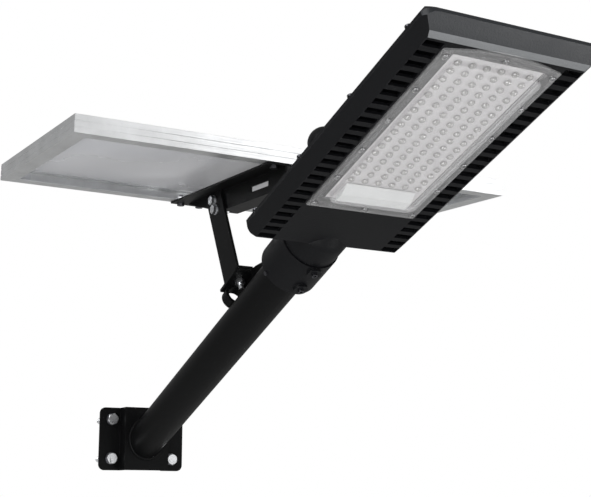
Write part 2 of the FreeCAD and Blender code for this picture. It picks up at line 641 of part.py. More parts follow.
def battery():
    """Lithium cells lying in rows on a tray above the heat sink, held by two straps."""
    pitch = "(cell_size + cell_gap)"
    width = f"{CELLS_ACROSS} * {pitch} + 2 * tray_thick"
    middle = f"battery_from + {BATTERY_LENGTH} / 2"
    base = slab(BATTERY_LENGTH, width, "tray_thick", (middle, "0", TRAY_LOW))
    walls = [slab(BATTERY_LENGTH, "tray_thick", "cell_size / 2",
                  (middle, f"{side} * (({width}) - tray_thick) / 2", TRAY_LOW)) for side in (-1, 1)]
    node("battery_tray", "head", fuse(base, *walls))
    cells = [rod("cell_size / 2", "cell_length",
                 (f"battery_from + cell_gap + {step} * (cell_length + cell_gap)",
                  f"({row} - {CELLS_ACROSS - 1} / 2) * {pitch}", f"{TRAY_HIGH} + cell_size / 2"), "X")
             for step in range(CELLS_ALONG) for row in range(CELLS_ACROSS)]
    node("battery_cells", "head", *cells)
    high = "cell_size + 2 * strap_thick + tray_thick"
    straps = []
    for at in strap_places():
        outer = slab("strap_width", f"{width} + 2 * strap_thick", high,
                     (at, "0", f"{TRAY_LOW} - strap_thick"))
        inner = slab("2 * strap_width", width, f"{high} - 2 * strap_thick", (at, "0", TRAY_LOW))
        straps.append(cut(outer, inner))
    node("battery_straps", "head", *straps)


def electronics():
    """Charge controller in its case with board and lid, and the light driver."""
    middle = "casting_wall + bay_gap + controller_length / 2 - bay_back"
    low = "floor_thick + bay_gap"
    board = f"{low} + box_wall + board_rise"
    shell = cut(slab("controller_length", "controller_width", "controller_height", (middle, "0", low)),
                slab("controller_length - 2 * box_wall", "controller_width - 2 * box_wall",
                     "controller_height", (middle, "0", f"{low} + box_wall")))
    feet = [slab("foot_size", "foot_size", "bay_gap + box_wall / 2",
                 (f"{middle} + {x} * (controller_length - foot_size) / 2",
                  f"{y} * (controller_width - foot_size) / 2", "floor_thick"))
            for x, y in sides(-1, 1)]
    node("controller_case", "head", fuse(shell, *feet))
    node("controller_board", "head",
         slab("controller_length - 2 * box_wall - bay_gap", "controller_width - 2 * box_wall - bay_gap",
              "board_thick", (middle, "0", board)),
         slab("choke_length", "choke_width", "choke_high",
              (f"{middle} + choke_ahead", "-choke_aside", f"{board} + board_thick")),
         slab("terminal_length", "terminal_width", "terminal_high",
              (f"{middle} - terminal_behind", "terminal_aside", f"{board} + board_thick")))
    node("controller_lid", "head", slab("controller_length", "controller_width", "box_wall",
                                        (middle, "0", f"{low} + controller_height")))
    node("led_driver", "head", slab("driver_length", "driver_width", "driver_height",
                                    ("tray_back + driver_length / 2 - foot_size", "0", TRAY_LOW)))


def clamp_screws():
    """Socket screws that grip the tube through the collar's bosses, and the locating screw."""
    screws = [cut(under_socket("clamp_size / 2", along, "tube_outer / 2",
                               "collar_outer / 2 + clamp_boss_rise + clamp_head"),
                  under_socket("clamp_size / 4", along,
                               "collar_outer / 2 + clamp_boss_rise - 2", "collar_outer"))
              for along in clamp_places()]
    node("clamp_screws", "head", *screws)
    node("locating_screw", "head", beside_socket("locating_screw_size / 2", "tube_outer / 2",
                                                 "collar_outer / 2 + clamp_head / 2"))


# ---------------------------------------------------------------- swivel seat

SEAT_TOP = "-slide_washer"
SEAT_LOW = "(-slide_washer - seat_thick)"


def swivel_seat():
    """Welded seat: a top plate on a rolled strap and a side cheek, with a rib towards the head."""
    middle = "(seat_ahead - seat_length / 2)"
    plate = slab("seat_length", "seat_width", "seat_thick", (middle, "0", SEAT_LOW))
    back = f"{middle} - seat_length / 2"
    centre = "(-slide_washer - strap_radius)"
    strap = cut(rod("strap_radius", "strap_length", (back, "0", centre), "X"),
                rod("strap_radius - strap_wall", "2 * strap_length", (f"{back} - 1", "0", centre), "X"))
    drop = "(seat_rise - slide_washer)"
    cheek = box(("seat_length", "seat_thick", f"{drop} - tube_outer / 6"),
                (back, "seat_width / 2 - seat_thick", f"-seat_rise + tube_outer / 6"))
    front = f"({middle} + seat_length / 2)"
    toe = f"{front} + rib_length"
    rib = pad("XZ", [(f"{front} - rib_toe", "tube_outer / 3 - seat_rise"), (f"{front} - rib_toe", SEAT_TOP),
                     (f"{front} + rib_shoulder", f"{SEAT_TOP} - rib_step"),
                     (toe, "tube_outer / 2 - seat_rise + rib_toe"), (toe, "tube_outer / 3 - seat_rise")],
              "rib_thick", start="seat_side", symmetric=True)
    blank = fuse(plate, strap, cheek, rib)
    hole = rod("swivel_size / 2 + pin_gap", "3 * seat_thick", ("0", "0", f"{SEAT_LOW} - seat_thick"))
    seat = place(cut(blank, hole), "link")
    node("swivel_seat", "wall", cut(seat, tube_solid("tube_outer / 2"),
                                    socket_clearance()))


def socket_clearance():
    """Cylinder in the row frame that keeps the seat's rib clear of the head's collar."""
    return tube_solid("collar_outer", start="tube_reach - collar_clear", end="tube_reach + collar_length")


def swivel_fasteners():
    """Bolt, nut and washers on the swivel axis."""
    size, top = "swivel_size", "link_thick + washer_thick"
    shank = rod(f"{size} / 2", f"{top} + slide_washer + seat_thick + nut_high + bolt_spare",
                ("0", "0", f"{SEAT_LOW} - nut_high - bolt_spare"))
    node("swivel_bolt", "link", fuse(shank, hexagon("nut_flats", "head_high", ("0", "0", top))))
    bore = rod(f"{size} / 2", "4 * nut_high", ("0", "0", f"{SEAT_LOW} - 2 * nut_high"))
    node("swivel_nut", "link", cut(hexagon("nut_flats", "nut_high", ("0", "0", f"{SEAT_LOW} - nut_high")),
                                   bore))
    hole = rod(f"{size} / 2 + pin_gap", "bore_reach", ("0", "0", "-bore_reach / 2"))
    upper = rod("slide_washer_size / 2", "washer_thick - pin_gap", ("0", "0", "link_thick + pin_gap"))
    node("swivel_washer", "link", cut(upper, hole))
    node("slide_washer", "link",
         cut(rod("slide_washer_size / 2", "slide_washer - pin_gap", ("0", "0", "-slide_washer")), hole))


# ---------------------------------------------------------------- link bar

def link_bar():
    """Flat bar bent to a foot at its lower end, with a round head about the tilt pivot."""
    outer = "-link_offset"
    inner = "(link_thick - link_offset)"
    body = pad("YZ", [(outer, "0"), ("foot_reach", "0"), ("foot_reach", "link_thick"), (inner, "link_thick"),
                      (inner, "pivot_rise"), (outer, "pivot_rise")], "link_width", symmetric=True)
    head = rod("link_width / 2", "link_thick", ("0", outer, "pivot_rise"), "Y")
    swivel = rod("swivel_size / 2 + pin_gap", "3 * link_thick", ("0", "0", "-link_thick"))
    bolts = [rod("tilt_size / 2 + pin_gap", "3 * link_thick", ("0", f"{outer} - link_thick", z), "Y")
             for z in ("pivot_rise", "pivot_rise - lock_drop")]
    node("link_bar", "link", cut(fuse(body, head), swivel, *bolts))


def tilt_fasteners():
    """Pivot bolt and lock bolt of the tilt joint, with their washers and nuts."""
    bolts, nuts, washers = [], [], []
    outer = "(-link_offset)"
    web_back = "(link_thick - link_offset + face_gap + web_thick)"
    for z in ("pivot_rise", "pivot_rise - lock_drop"):
        length = f"({web_back} - {outer} + 2 * washer_thick + nut_high + thread_end)"
        shank = rod("tilt_size / 2", length, ("0", f"{outer} - washer_thick", z), "Y")
        head = hexagon("nut_flats", "head_high", ("0", f"{outer} - washer_thick - head_high", z), "Y")
        bolts.append(fuse(shank, head))
        bore = rod("tilt_size / 2", "4 * bore_reach", ("0", f"{outer} - bore_reach", z), "Y")
        back = f"({web_back} + face_gap + washer_thick)"
        nuts.append(cut(hexagon("nut_flats", "nut_high", ("0", back, z), "Y"), bore))
        for y in (f"{outer} - washer_thick", f"{web_back} + face_gap"):
            washers.append(cut(rod("washer_size / 2", "washer_thick", ("0", y, z), "Y"), bore))
    node("tilt_bolts", "link", *bolts)
    node("tilt_nuts", "link", *nuts)
    node("tilt_washers", "link", *washers)


# ---------------------------------------------------------------- beam under the panel

BEAM_BACK = "(panel_ahead - panel_depth / 2 + beam_end_gap)"
BEAM_FRONT = "(panel_ahead + panel_depth / 2 - beam_end_gap)"
WEB_NEAR = "(link_thick - link_offset + face_gap)"
WEB_FAR = f"({WEB_NEAR} + web_thick)"
BEAM_TOP = "panel_above"
BEAM_LOW = "(panel_above - web_depth)"
REST = f"({LEAN} + panel_set)"


def beam_bolt_places():
    """Yield the place of each bolt between the beam and the panel's long rails."""
    for x in (f"{BEAM_BACK} + beam_bolt_in", f"{BEAM_FRONT} - beam_bolt_in"):
        for y in (f"{WEB_NEAR} - brim_width / 2", f"{WEB_FAR} + flange_width / 2"):
            yield x, y


def lock_slot():
    """Slot for the lock bolt, an arc about the pivot through the tilt range."""
    rest = REST
    half = "(tilt_size / 2 + lock_gap)"
    ring = cut(rod(f"lock_drop + {half}", "4 * web_thick", ("0", f"{WEB_NEAR} - web_thick", "0"), "Y"),
               rod(f"lock_drop - {half}", "6 * web_thick", ("0", f"{WEB_NEAR} - 2 * web_thick", "0"), "Y"))
    sector = document.addObject("Part::Cylinder", "Sector")
    bind(sector, {"Radius": "2 * lock_drop", "Height": "8 * web_thick", "Angle": "tilt_up + tilt_down"})
    locate(sector, ("0", f"{WEB_NEAR} + 4 * web_thick", "0"), (1, 0, 0), "90")
    turned = document.addObject("Part::Compound", "Turned")
    turned.Links = [common(ring, sector)]
    locate(turned, ("0", "0", "0"), (0, -1, 0), f"270 + {rest} - tilt_up")
    ends = []
    for angle in (f"{rest} - tilt_up", f"{rest} + tilt_down"):
        place_x = f"lock_drop * sin({angle})"
        place_z = f"-lock_drop * cos({angle})"
        ends.append(rod(half, "4 * web_thick", (place_x, f"{WEB_NEAR} - web_thick", place_z), "Y"))
    return fuse(turned, *ends)


def panel_beam():
    """Bent-steel beam: tapered web with an ear at the pivot, a foot flange, a brim and end tabs."""
    web = pad("XZ", [(BEAM_BACK, BEAM_TOP), (BEAM_BACK, f"{BEAM_TOP} - web_thick"),
                     (f"{BEAM_BACK} + beam_step", f"{BEAM_TOP} - web_thick"),
                     (f"{BEAM_BACK} + beam_step + web_taper", BEAM_LOW),
                     (BEAM_FRONT, BEAM_LOW), (BEAM_FRONT, BEAM_TOP)],
              "web_thick", start=f"-({WEB_FAR})")
    ear = rod("ear_radius", "web_thick", ("0", WEB_NEAR, "0"), "Y")
    top = slab("3 * ear_radius", "3 * web_thick", "2 * ear_radius", ("0", WEB_NEAR, BEAM_TOP))
    flange = box((f"{BEAM_FRONT} - {BEAM_BACK} - beam_step - web_taper", "flange_width", "web_thick"),
                 (f"{BEAM_BACK} + beam_step + web_taper", WEB_NEAR, BEAM_LOW))
    brim = box((f"{BEAM_FRONT} - {BEAM_BACK}", "brim_width + web_thick", "web_thick"),
               (BEAM_BACK, f"{WEB_NEAR} - brim_width", f"{BEAM_TOP} - web_thick"))
    tabs = [box(("beam_tab", "flange_width", "web_thick"), (x, WEB_NEAR, f"{BEAM_TOP} - web_thick"))
            for x in (BEAM_BACK, f"{BEAM_FRONT} - beam_tab")]
    notch_back = f"(lock_drop * sin({REST} - tilt_up) - washer_size / 2 - notch_gap)"
    notch_front = f"(lock_drop * sin({REST} + tilt_down) + washer_size / 2 + notch_gap)"
    notch = box((f"{notch_front} - {notch_back}",
                 "washer_thick + nut_high + thread_end + notch_gap", "3 * web_thick"),
                (notch_back, WEB_FAR, f"{BEAM_LOW} - web_thick"))
    gate = box(("link_width + 2 * gate_gap", "link_thick + face_gap + gate_gap / 6", "4 * web_thick"),
               ("-link_width / 2 - gate_gap", "-link_offset - gate_gap / 6",
                f"{BEAM_TOP} - 2 * web_thick"))
    pivot = rod("tilt_size / 2 + pin_gap", "4 * web_thick", ("0", f"{WEB_NEAR} - web_thick", "0"), "Y")
    window = slab("cable_slot", "4 * web_thick", "cable_slot_high",
                  ("cable_slot_at", f"{WEB_NEAR} + web_thick / 2", "-2 - cable_slot_high / 2"))
    holes = [rod("beam_bolt / 2 + pin_gap", "6 * web_thick", (x, y, f"{BEAM_TOP} - 3 * web_thick"))
             for x, y in beam_bolt_places()]
    solid = cut(fuse(web, cut(ear, top), flange, brim, *tabs), notch, gate, pivot, window,
                lock_slot(), *holes)
    node("panel_beam", "panel", solid)


def beam_fasteners():
    """Bolts and nuts that hold the beam to the feet of the panel's long rails."""
    bolts, nuts = [], []
    low = f"{BEAM_TOP} - web_thick"
    top = f"({BEAM_TOP} + rail_wall)"
    for x, y in beam_bolt_places():
        shank = rod("beam_bolt / 2", "web_thick + rail_wall + beam_bolt_end", (x, y, low))
        head = hexagon("beam_flats", "beam_head", (x, y, f"{low} - beam_head"))
        bolts.append(fuse(shank, head))
        nut = hexagon("beam_flats", "beam_bolt_end - 3 * rail_wall / 2", (x, y, top))
        nuts.append(cut(nut, rod("beam_bolt / 2", "2 * panel_thick", (x, y, low))))
    node("beam_bolts", "panel", *bolts)
    node("beam_nuts", "panel", *nuts)


# ---------------------------------------------------------------- solar panel

PANEL_MIDDLE = ("panel_ahead", "panel_aside")


def rail(length, turn, at):
    """Mitred frame rail: outer wall, foot and two lips that hold the laminate's edge."""
    wall, lip, high = "rail_wall", "rail_lip", "panel_thick"
    seat = "glass_seat"
    outline = [("0", "0"), ("rail_foot", "0"), ("rail_foot", wall), (wall, wall),
               (wall, f"{seat} - {wall}"), (lip, f"{seat} - {wall}"), (lip, seat), (wall, seat),
               (wall, f"{high} - {wall} / 2"), (lip, f"{high} - {wall} / 2"), (lip, high), ("0", high)]
    for start in ("groove_low + groove_pitch", "groove_low"):
        outline += [("0", f"{start} + groove_high"), ("groove_deep", f"{start} + groove_high"),
                    ("groove_deep", start), ("0", start)]
    bar = pad("YZ", outline, length, symmetric=True)
    item = document.addObject("Part::Wedge", "Mitre")
    half = f"({length}) / 2"
    bind(item, {"Xmin": f"-{half}", "Xmax": half, "Zmin": "0", "Zmax": high,
                "X2min": f"-({half} - rail_foot)", "X2max": f"{half} - rail_foot",
                "Z2min": "0", "Z2max": high, "Ymin": "0", "Ymax": "rail_foot"})
    return locate(common(bar, item), at, (0, 0, 1), turn)


def frame_rails():
    """Four mitred rails of the panel's frame and the keys inside their corners."""
    x, y = PANEL_MIDDLE
    z = "panel_above"
    holes = [rod("beam_bolt / 2 + pin_gap", "6 * rail_wall", (px, py, f"{z} - 2 * rail_wall"))
             for px, py in beam_bolt_places()]
    front = rail("panel_length", "90", (f"{x} + panel_depth / 2", y, z))
    back = rail("panel_length", "-90", (f"{x} - panel_depth / 2", y, z))
    left = rail("panel_depth", "0", (x, f"{y} - panel_length / 2", z))
    right = rail("panel_depth", "180", (x, f"{y} + panel_length / 2", z))
    node("rail_front", "panel", cut(front, holes[2], holes[3]))
    node("rail_back", "panel", cut(back, holes[0], holes[1]))
    node("rail_left", "panel", left)
    node("rail_right", "panel", right)
    keys = []
    for across, along in sides(-1, 1):
        keys.append(corner_key(across, along))
    node("corner_keys", "panel", *keys)


def corner_key(across, along):
    """L-shaped key that joins two rails from inside their hollow."""
    x, y = PANEL_MIDDLE
    wall = "(rail_wall + key_gap)"
    low = f"panel_above + {wall}"
    high = "glass_seat - 2 * rail_wall - 2 * key_gap"
    corner_x = f"{x} + {across} * (panel_depth / 2 - {wall})"
    corner_y = f"{y} + {along} * (panel_length / 2 - {wall})"
    legs = []
    for length, width in (("key_leg", "key_thick"), ("key_thick", "key_leg")):
        legs.append(slab(length, width, high, (f"{corner_x} - {across} * ({length}) / 2",
                                               f"{corner_y} - {along} * ({width}) / 2", low)))
    return fuse(*legs)


def laminate():
    """Glass, solar cells and backsheet, seated between the rails' lips."""
    x, y = PANEL_MIDDLE
    depth = "panel_depth - 2 * rail_wall - 2 * laminate_gap"
    length = "panel_length - 2 * rail_wall - 2 * laminate_gap"
    low = "panel_above + glass_seat"
    node("backsheet", "panel", slab(depth, length, "sheet_thick", (x, y, low)))
    pitch_x = f"((panel_depth - 2 * cell_border) / {CELL_ROWS})"
    pitch_y = f"((panel_length - 2 * cell_border) / {CELL_COLUMNS})"
    cells = [slab(f"{pitch_x} - cell_space", f"{pitch_y} - cell_space", "cell_thick",
                  (f"{x} + ({row} - {CELL_ROWS - 1} / 2) * {pitch_x}",
                   f"{y} + ({column} - {CELL_COLUMNS - 1} / 2) * {pitch_y}", f"{low} + sheet_thick"))
             for row in range(CELL_ROWS) for column in range(CELL_COLUMNS)]
    node("solar_cells", "panel", *cells)
    glass_low = f"{low} + sheet_thick + cell_thick"
    glass_high = "panel_thick - glass_seat - sheet_thick - cell_thick - rail_wall / 2 - glass_gap"
    glass = slab(depth, length, glass_high, (x, y, glass_low))
    node("panel_glass", "panel", glass)


def junction_box():
    """Junction box under the backsheet, its lid and its cable gland."""
    x, y = "panel_ahead", "panel_aside + junction_aside"
    top = "(panel_above + glass_seat)"
    low = f"({top} - junction_deep)"
    shell = cut(slab("junction_width", "junction_length", "junction_deep", (x, y, low)),
                slab("junction_width - 2 * box_wall", "junction_length - 2 * box_wall",
                     "junction_deep - box_wall", (x, y, low)),
                rod("gland_size / 4", "3 * box_wall", (f"{x} - junction_width / 2 - box_wall", y,
                                                       f"{low} + junction_deep / 2"), "X"))
    node("junction_box", "panel", shell)
    node("junction_lid", "panel", slab("junction_width", "junction_length", "junction_lid",
                                       (x, y, f"{low} - junction_lid")))
    at = (f"{x} - junction_width / 2 - gland_length * 0.75", y, f"{low} + junction_deep / 2")
    gland = fuse(rod("gland_size / 4", "gland_length", at, "X"),
                 hexagon("gland_size * 0.8", "gland_length / 2", at, "X"))
    hole = rod("gland_size / 8", "2 * gland_length", (f"{at[0]} - 1", at[1], at[2]), "X")
    node("junction_gland", "panel", cut(gland, hole))


def build():
    """Build every piece of the lamp."""
    wall_bracket()
    anchors()
    arm_tube()
    swivel_seat()
    swivel_fasteners()
    head_housing()
    top_cover()
    inlet_hood()
    lens_cover()
    light_source()
    battery()
    electronics()
    clamp_screws()
    link_bar()
    tilt_fasteners()
    panel_beam()
    beam_fasteners()
    frame_rails()
    laminate()
    junction_box()


def check():
    """Stop if any object failed or any piece is not a set of valid solids."""
    failed = [item.Label for item in document.Objects if {"Invalid", "Error"} & set(item.State)]
    for item in nodes:
        shape = item.Shape
        if shape.isNull() or not shape.isValid() or not shape.Solids:
            failed.append(item.Label)
    if failed:
        raise RuntimeError(f"failed: {sorted(set(failed))}")


def export():
    """Write each piece to its own file."""
    os.makedirs("parts", exist_ok=True)
    for item in nodes:
        item.Shape.exportStep(f"parts/{item.Label}.step")
        print(f"{item.Label:18s} {len(item.Shape.Solids):3d} solids {item.Shape.Volume / 1000:9.2f} cm3")


build()
document.recompute()
check()
export()
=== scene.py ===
import json
import logging
import math
from dataclasses import dataclass
from enum import Enum

import bpy
from mathutils import Matrix, Vector

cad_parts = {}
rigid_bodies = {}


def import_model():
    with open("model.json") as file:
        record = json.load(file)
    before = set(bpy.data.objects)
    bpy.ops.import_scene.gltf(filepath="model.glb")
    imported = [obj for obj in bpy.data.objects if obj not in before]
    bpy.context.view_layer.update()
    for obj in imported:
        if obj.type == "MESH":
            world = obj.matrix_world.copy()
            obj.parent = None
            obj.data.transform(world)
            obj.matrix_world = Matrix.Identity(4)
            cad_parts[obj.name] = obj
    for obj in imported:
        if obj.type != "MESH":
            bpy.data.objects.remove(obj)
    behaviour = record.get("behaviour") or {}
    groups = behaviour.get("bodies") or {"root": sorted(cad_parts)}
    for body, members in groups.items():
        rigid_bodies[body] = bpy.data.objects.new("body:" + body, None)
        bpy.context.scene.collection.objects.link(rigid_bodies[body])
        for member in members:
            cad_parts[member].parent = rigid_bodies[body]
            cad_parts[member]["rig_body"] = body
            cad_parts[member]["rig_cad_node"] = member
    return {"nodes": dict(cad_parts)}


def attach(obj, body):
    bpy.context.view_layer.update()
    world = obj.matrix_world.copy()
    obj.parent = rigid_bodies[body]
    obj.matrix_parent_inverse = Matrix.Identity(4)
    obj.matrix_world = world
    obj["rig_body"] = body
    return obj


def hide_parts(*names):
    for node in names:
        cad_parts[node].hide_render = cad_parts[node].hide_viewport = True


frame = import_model()
log = logging.getLogger("solar_street_lamp")

MM = 0.001
QUARTER_TURN = math.pi / 2

Colour = tuple[float, float, float]
Place = tuple[float, float, float]

DUST_COLOUR = (0.32, 0.30, 0.27)
RUBBED_COLOUR = (0.09, 0.09, 0.095)
FINGER_COLOUR = (0.55, 0.56, 0.58)
WHITE = (1.0, 1.0, 1.0, 1.0)


# ---------------------------------------------------------------- shared effects of the finishes

class Kind(Enum):
    """Kinds of socket that an effect has."""

    NUMBER = "NodeSocketFloat"
    DIRECTION = "NodeSocketVector"


class Recipe:
    """The nodes of an effect or a material, with short ways to add and join them."""

    def __init__(self, tree: bpy.types.NodeTree) -> None:
        """Keep the tree that the nodes go into."""
        self.tree = tree

    def add(self, kind: str, **values: object) -> bpy.types.Node:
        """Add a node and set it up.

        Args:
            kind: type name of the node.
            **values: its properties in small letters, and its inputs by name, with a leading
                capital letter and _ for a space.

        Returns:
            The new node.
        """
        made = self.tree.nodes.new(kind)
        for key, value in values.items():
            if key[0].isupper():
                made.inputs[key.replace("_", " ")].default_value = value
            else:
                setattr(made, key, value)
        return made

    def link(self, start: bpy.types.NodeSocket, end: bpy.types.NodeSocket) -> None:
        """Join two sockets."""
        self.tree.links.new(start, end)


class Effect(Recipe):
    """A shader node group that is built once and placed in many finishes."""

    def __init__(self, name: str, inputs: dict[str, Kind], outputs: list[str]) -> None:
        """Make the group's tree and its sockets.

        Args:
            name: name of the effect.
            inputs: name and kind of each input.
            outputs: name of each output, which is a number.
        """
        super().__init__(bpy.data.node_groups.new(name, "ShaderNodeTree"))
        sockets = self.tree.interface
        for label, kind in inputs.items():
            sockets.new_socket(name=label, in_out="INPUT", socket_type=kind.value)
        for label in outputs:
            sockets.new_socket(name=label, in_out="OUTPUT", socket_type=Kind.NUMBER.value)
        self.source = self.tree.nodes.new("NodeGroupInput")
        self.sink = self.tree.nodes.new("NodeGroupOutput")
        self.place = self.add("ShaderNodeTexCoord").outputs["Object"]

    def noise(self, place: bpy.types.NodeSocket, scale: str, detail: float,
              roughness: float) -> bpy.types.NodeSocket:
        """Add a noise whose scale is one of the effect's inputs.

        Args:
            place: socket with the coordinates.
            scale: name of the input with the scale.
            detail: how many finer layers it has.
            roughness: how strong the finer layers are.

        Returns:
            Socket with the noise.
        """
        node = self.add("ShaderNodeTexNoise", Detail=detail, Roughness=roughness)
        self.link(place, node.inputs["Vector"])
        self.link(self.source.outputs[scale], node.inputs["Scale"])
        return node.outputs[0]

    def ramp(self, value: bpy.types.NodeSocket, none: float, full: float) -> bpy.types.NodeSocket:
        """Stretch a value over the range of a mask.

        Args:
            value: socket with the value.
            none: the value that becomes 0.
            full: the value that becomes 1.

        Returns:
            Socket with the mask.
        """
        node = self.add("ShaderNodeMapRange", From_Min=none, From_Max=full)
        self.link(value, node.inputs["Value"])
        return node.outputs[0]

    def product(self, *factors: bpy.types.NodeSocket) -> bpy.types.NodeSocket:
        """Multiply masks.

        Args:
            *factors: socket of each mask.

        Returns:
            Socket with the product.
        """
        total = factors[0]
        for factor in factors[1:]:
            node = self.add("ShaderNodeMath", operation="MULTIPLY")
            self.link(total, node.inputs[0])
            self.link(factor, node.inputs[1])
            total = node.outputs[0]
        return total

    def give(self, label: str, value: bpy.types.NodeSocket) -> None:
        """Send a value to one of the effect's outputs."""
        self.link(value, self.sink.inputs[label])


def paint_grain() -> Effect:
    """Build the fine orange-peel skin of a powder coat, with a patchy gloss.

    Returns:
        Effect with a height and a mask that vary over the surface.
    """
    effect = Effect("Paint Grain", {"Scale": Kind.NUMBER, "Patch Scale": Kind.NUMBER},
                    ["Height", "Patches"])
    fine = effect.noise(effect.place, "Scale", detail=3.0, roughness=0.55)
    broad = effect.noise(effect.place, "Patch Scale", detail=4.0, roughness=0.6)
    effect.give("Height", fine)
    effect.give("Patches", effect.ramp(broad, none=0.3, full=0.7))
    return effect


def edge_wear() -> Effect:
    """Build the thin rubbed line that coats and castings get along their edges.

    Returns:
        Effect with a mask that is 1 on a worn edge.
    """
    effect = Effect("Edge Wear", {"Amount": Kind.NUMBER, "Scale": Kind.NUMBER}, ["Wear"])
    shape = effect.add("ShaderNodeNewGeometry")
    eased = effect.add("ShaderNodeBevel", samples=4, Radius=0.9 * MM)
    turn = effect.add("ShaderNodeVectorMath", operation="DOT_PRODUCT")
    effect.link(shape.outputs["Normal"], turn.inputs[0])
    effect.link(eased.outputs[0], turn.inputs[1])
    edge = effect.ramp(turn.outputs["Value"], none=0.995, full=0.93)
    patchy = effect.noise(effect.place, "Scale", detail=5.0, roughness=0.6)
    broken = effect.ramp(patchy, none=0.45, full=0.65)
    effect.give("Wear", effect.product(edge, broken, effect.source.outputs["Amount"]))
    return effect


def settled_dust() -> Effect:
    """Build the dust that lies on surfaces that face up.

    Returns:
        Effect with a mask of the dust.
    """
    effect = Effect("Settled Dust", {"Amount": Kind.NUMBER, "Scale": Kind.NUMBER}, ["Dust"])
    shape = effect.add("ShaderNodeNewGeometry")
    split = effect.add("ShaderNodeSeparateXYZ")
    effect.link(shape.outputs["Normal"], split.inputs[0])
    upward = effect.ramp(split.outputs["Z"], none=0.35, full=1.0)
    patchy = effect.noise(effect.place, "Scale", detail=6.0, roughness=0.65)
    broken = effect.ramp(patchy, none=0.35, full=0.75)
    effect.give("Dust", effect.product(upward, broken, effect.source.outputs["Amount"]))
    return effect


def drawn_lines() -> Effect:
    """Build the fine parallel lines that drawing, turning or extruding leaves on metal.

    Returns:
        Effect with a height and a mask that are stretched along one direction.
    """
    effect = Effect("Drawn Lines", {"Stretch": Kind.DIRECTION, "Scale": Kind.NUMBER},
                    ["Height", "Streaks"])
    stretch = effect.add("ShaderNodeVectorMath", operation="MULTIPLY")
    effect.link(effect.place, stretch.inputs[0])
    effect.link(effect.source.outputs["Stretch"], stretch.inputs[1])
    lines = effect.noise(stretch.outputs[0], "Scale", detail=5.0, roughness=0.7)
    effect.give("Height", lines)
    effect.give("Streaks", effect.ramp(lines, none=0.35, full=0.65))
    return effect


class Effects:
    """The shared effects, each built once."""

    def __init__(self) -> None:
        """Build every effect."""
        self.grain = paint_grain()
        self.wear = edge_wear()
        self.dust = settled_dust()
        self.lines = drawn_lines()


# ---------------------------------------------------------------- finishes

class Coat(Recipe):
    """A material under construction: its shader, and how effects join it."""

    MIX_LOW, MIX_HIGH, MIX_RESULT = 6, 7, 2

    def __init__(self, name: str) -> None:
        """Make an empty node material with one shader.

        Args:
            name: name of the material.
        """
        self.material = bpy.data.materials.new(name)
        self.material.use_nodes = True
        super().__init__(self.material.node_tree)
        self.shader = self.tree.nodes["Principled BSDF"]

    def set(self, **values: object) -> None:
        """Set plain values on the shader's own sockets, named with _ for a space."""
        for key, value in values.items():
            self.shader.inputs[key.replace("_", " ")].default_value = value

    def feed(self, label: str, value: bpy.types.NodeSocket) -> None:
        """Link a value that varies over the surface to one of the shader's sockets."""
        self.link(value, self.shader.inputs[label])

    def place(self, effect: Effect, **values: object) -> bpy.types.Node:
        """Place a shared effect with its own values."""
        return self.add("ShaderNodeGroup", node_tree=effect.tree, **values)

    def tint(self, mask: bpy.types.NodeSocket, low: object, high: object) -> bpy.types.NodeSocket:
        """Mix two colours by a mask.

        Args:
            mask: socket with the share of the second colour.
            low: colour or socket where the mask is 0.
            high: colour or socket where the mask is 1.

        Returns:
            Socket with the mixed colour.
        """
        mix = self.add("ShaderNodeMix", data_type="RGBA")
        self.link(mask, mix.inputs[0])
        for number, value in ((self.MIX_LOW, low), (self.MIX_HIGH, high)):
            if isinstance(value, bpy.types.NodeSocket):
                self.link(value, mix.inputs[number])
            else:
                mix.inputs[number].default_value = (*value, 1.0)
        return mix.outputs[self.MIX_RESULT]

    def spread(self, mask: bpy.types.NodeSocket, low: float, high: float) -> bpy.types.NodeSocket:
        """Turn a mask into a number between two values.

        Args:
            mask: socket with the mask.
            low: number where the mask is 0.
            high: number where the mask is 1.

        Returns:
            Socket with the number.
        """
        node = self.add("ShaderNodeMapRange", To_Min=low, To_Max=high)
        self.link(mask, node.inputs["Value"])
        return node.outputs[0]

    def bump(self, height: bpy.types.NodeSocket, strength: float, depth: float) -> None:
        """Give the shader a relief.

        Args:
            height: socket with the height, from 0 to 1.
            strength: how much of the relief shows.
            depth: depth of the relief, in metres.
        """
        node = self.add("ShaderNodeBump", Strength=strength, Distance=depth)
        self.link(height, node.inputs["Height"])
        self.feed("Normal", node.outputs["Normal"])


def shaded(colour: Colour, share: float) -> Colour:
    """Make a colour lighter or darker by a share."""
    return tuple(share * part for part in colour)


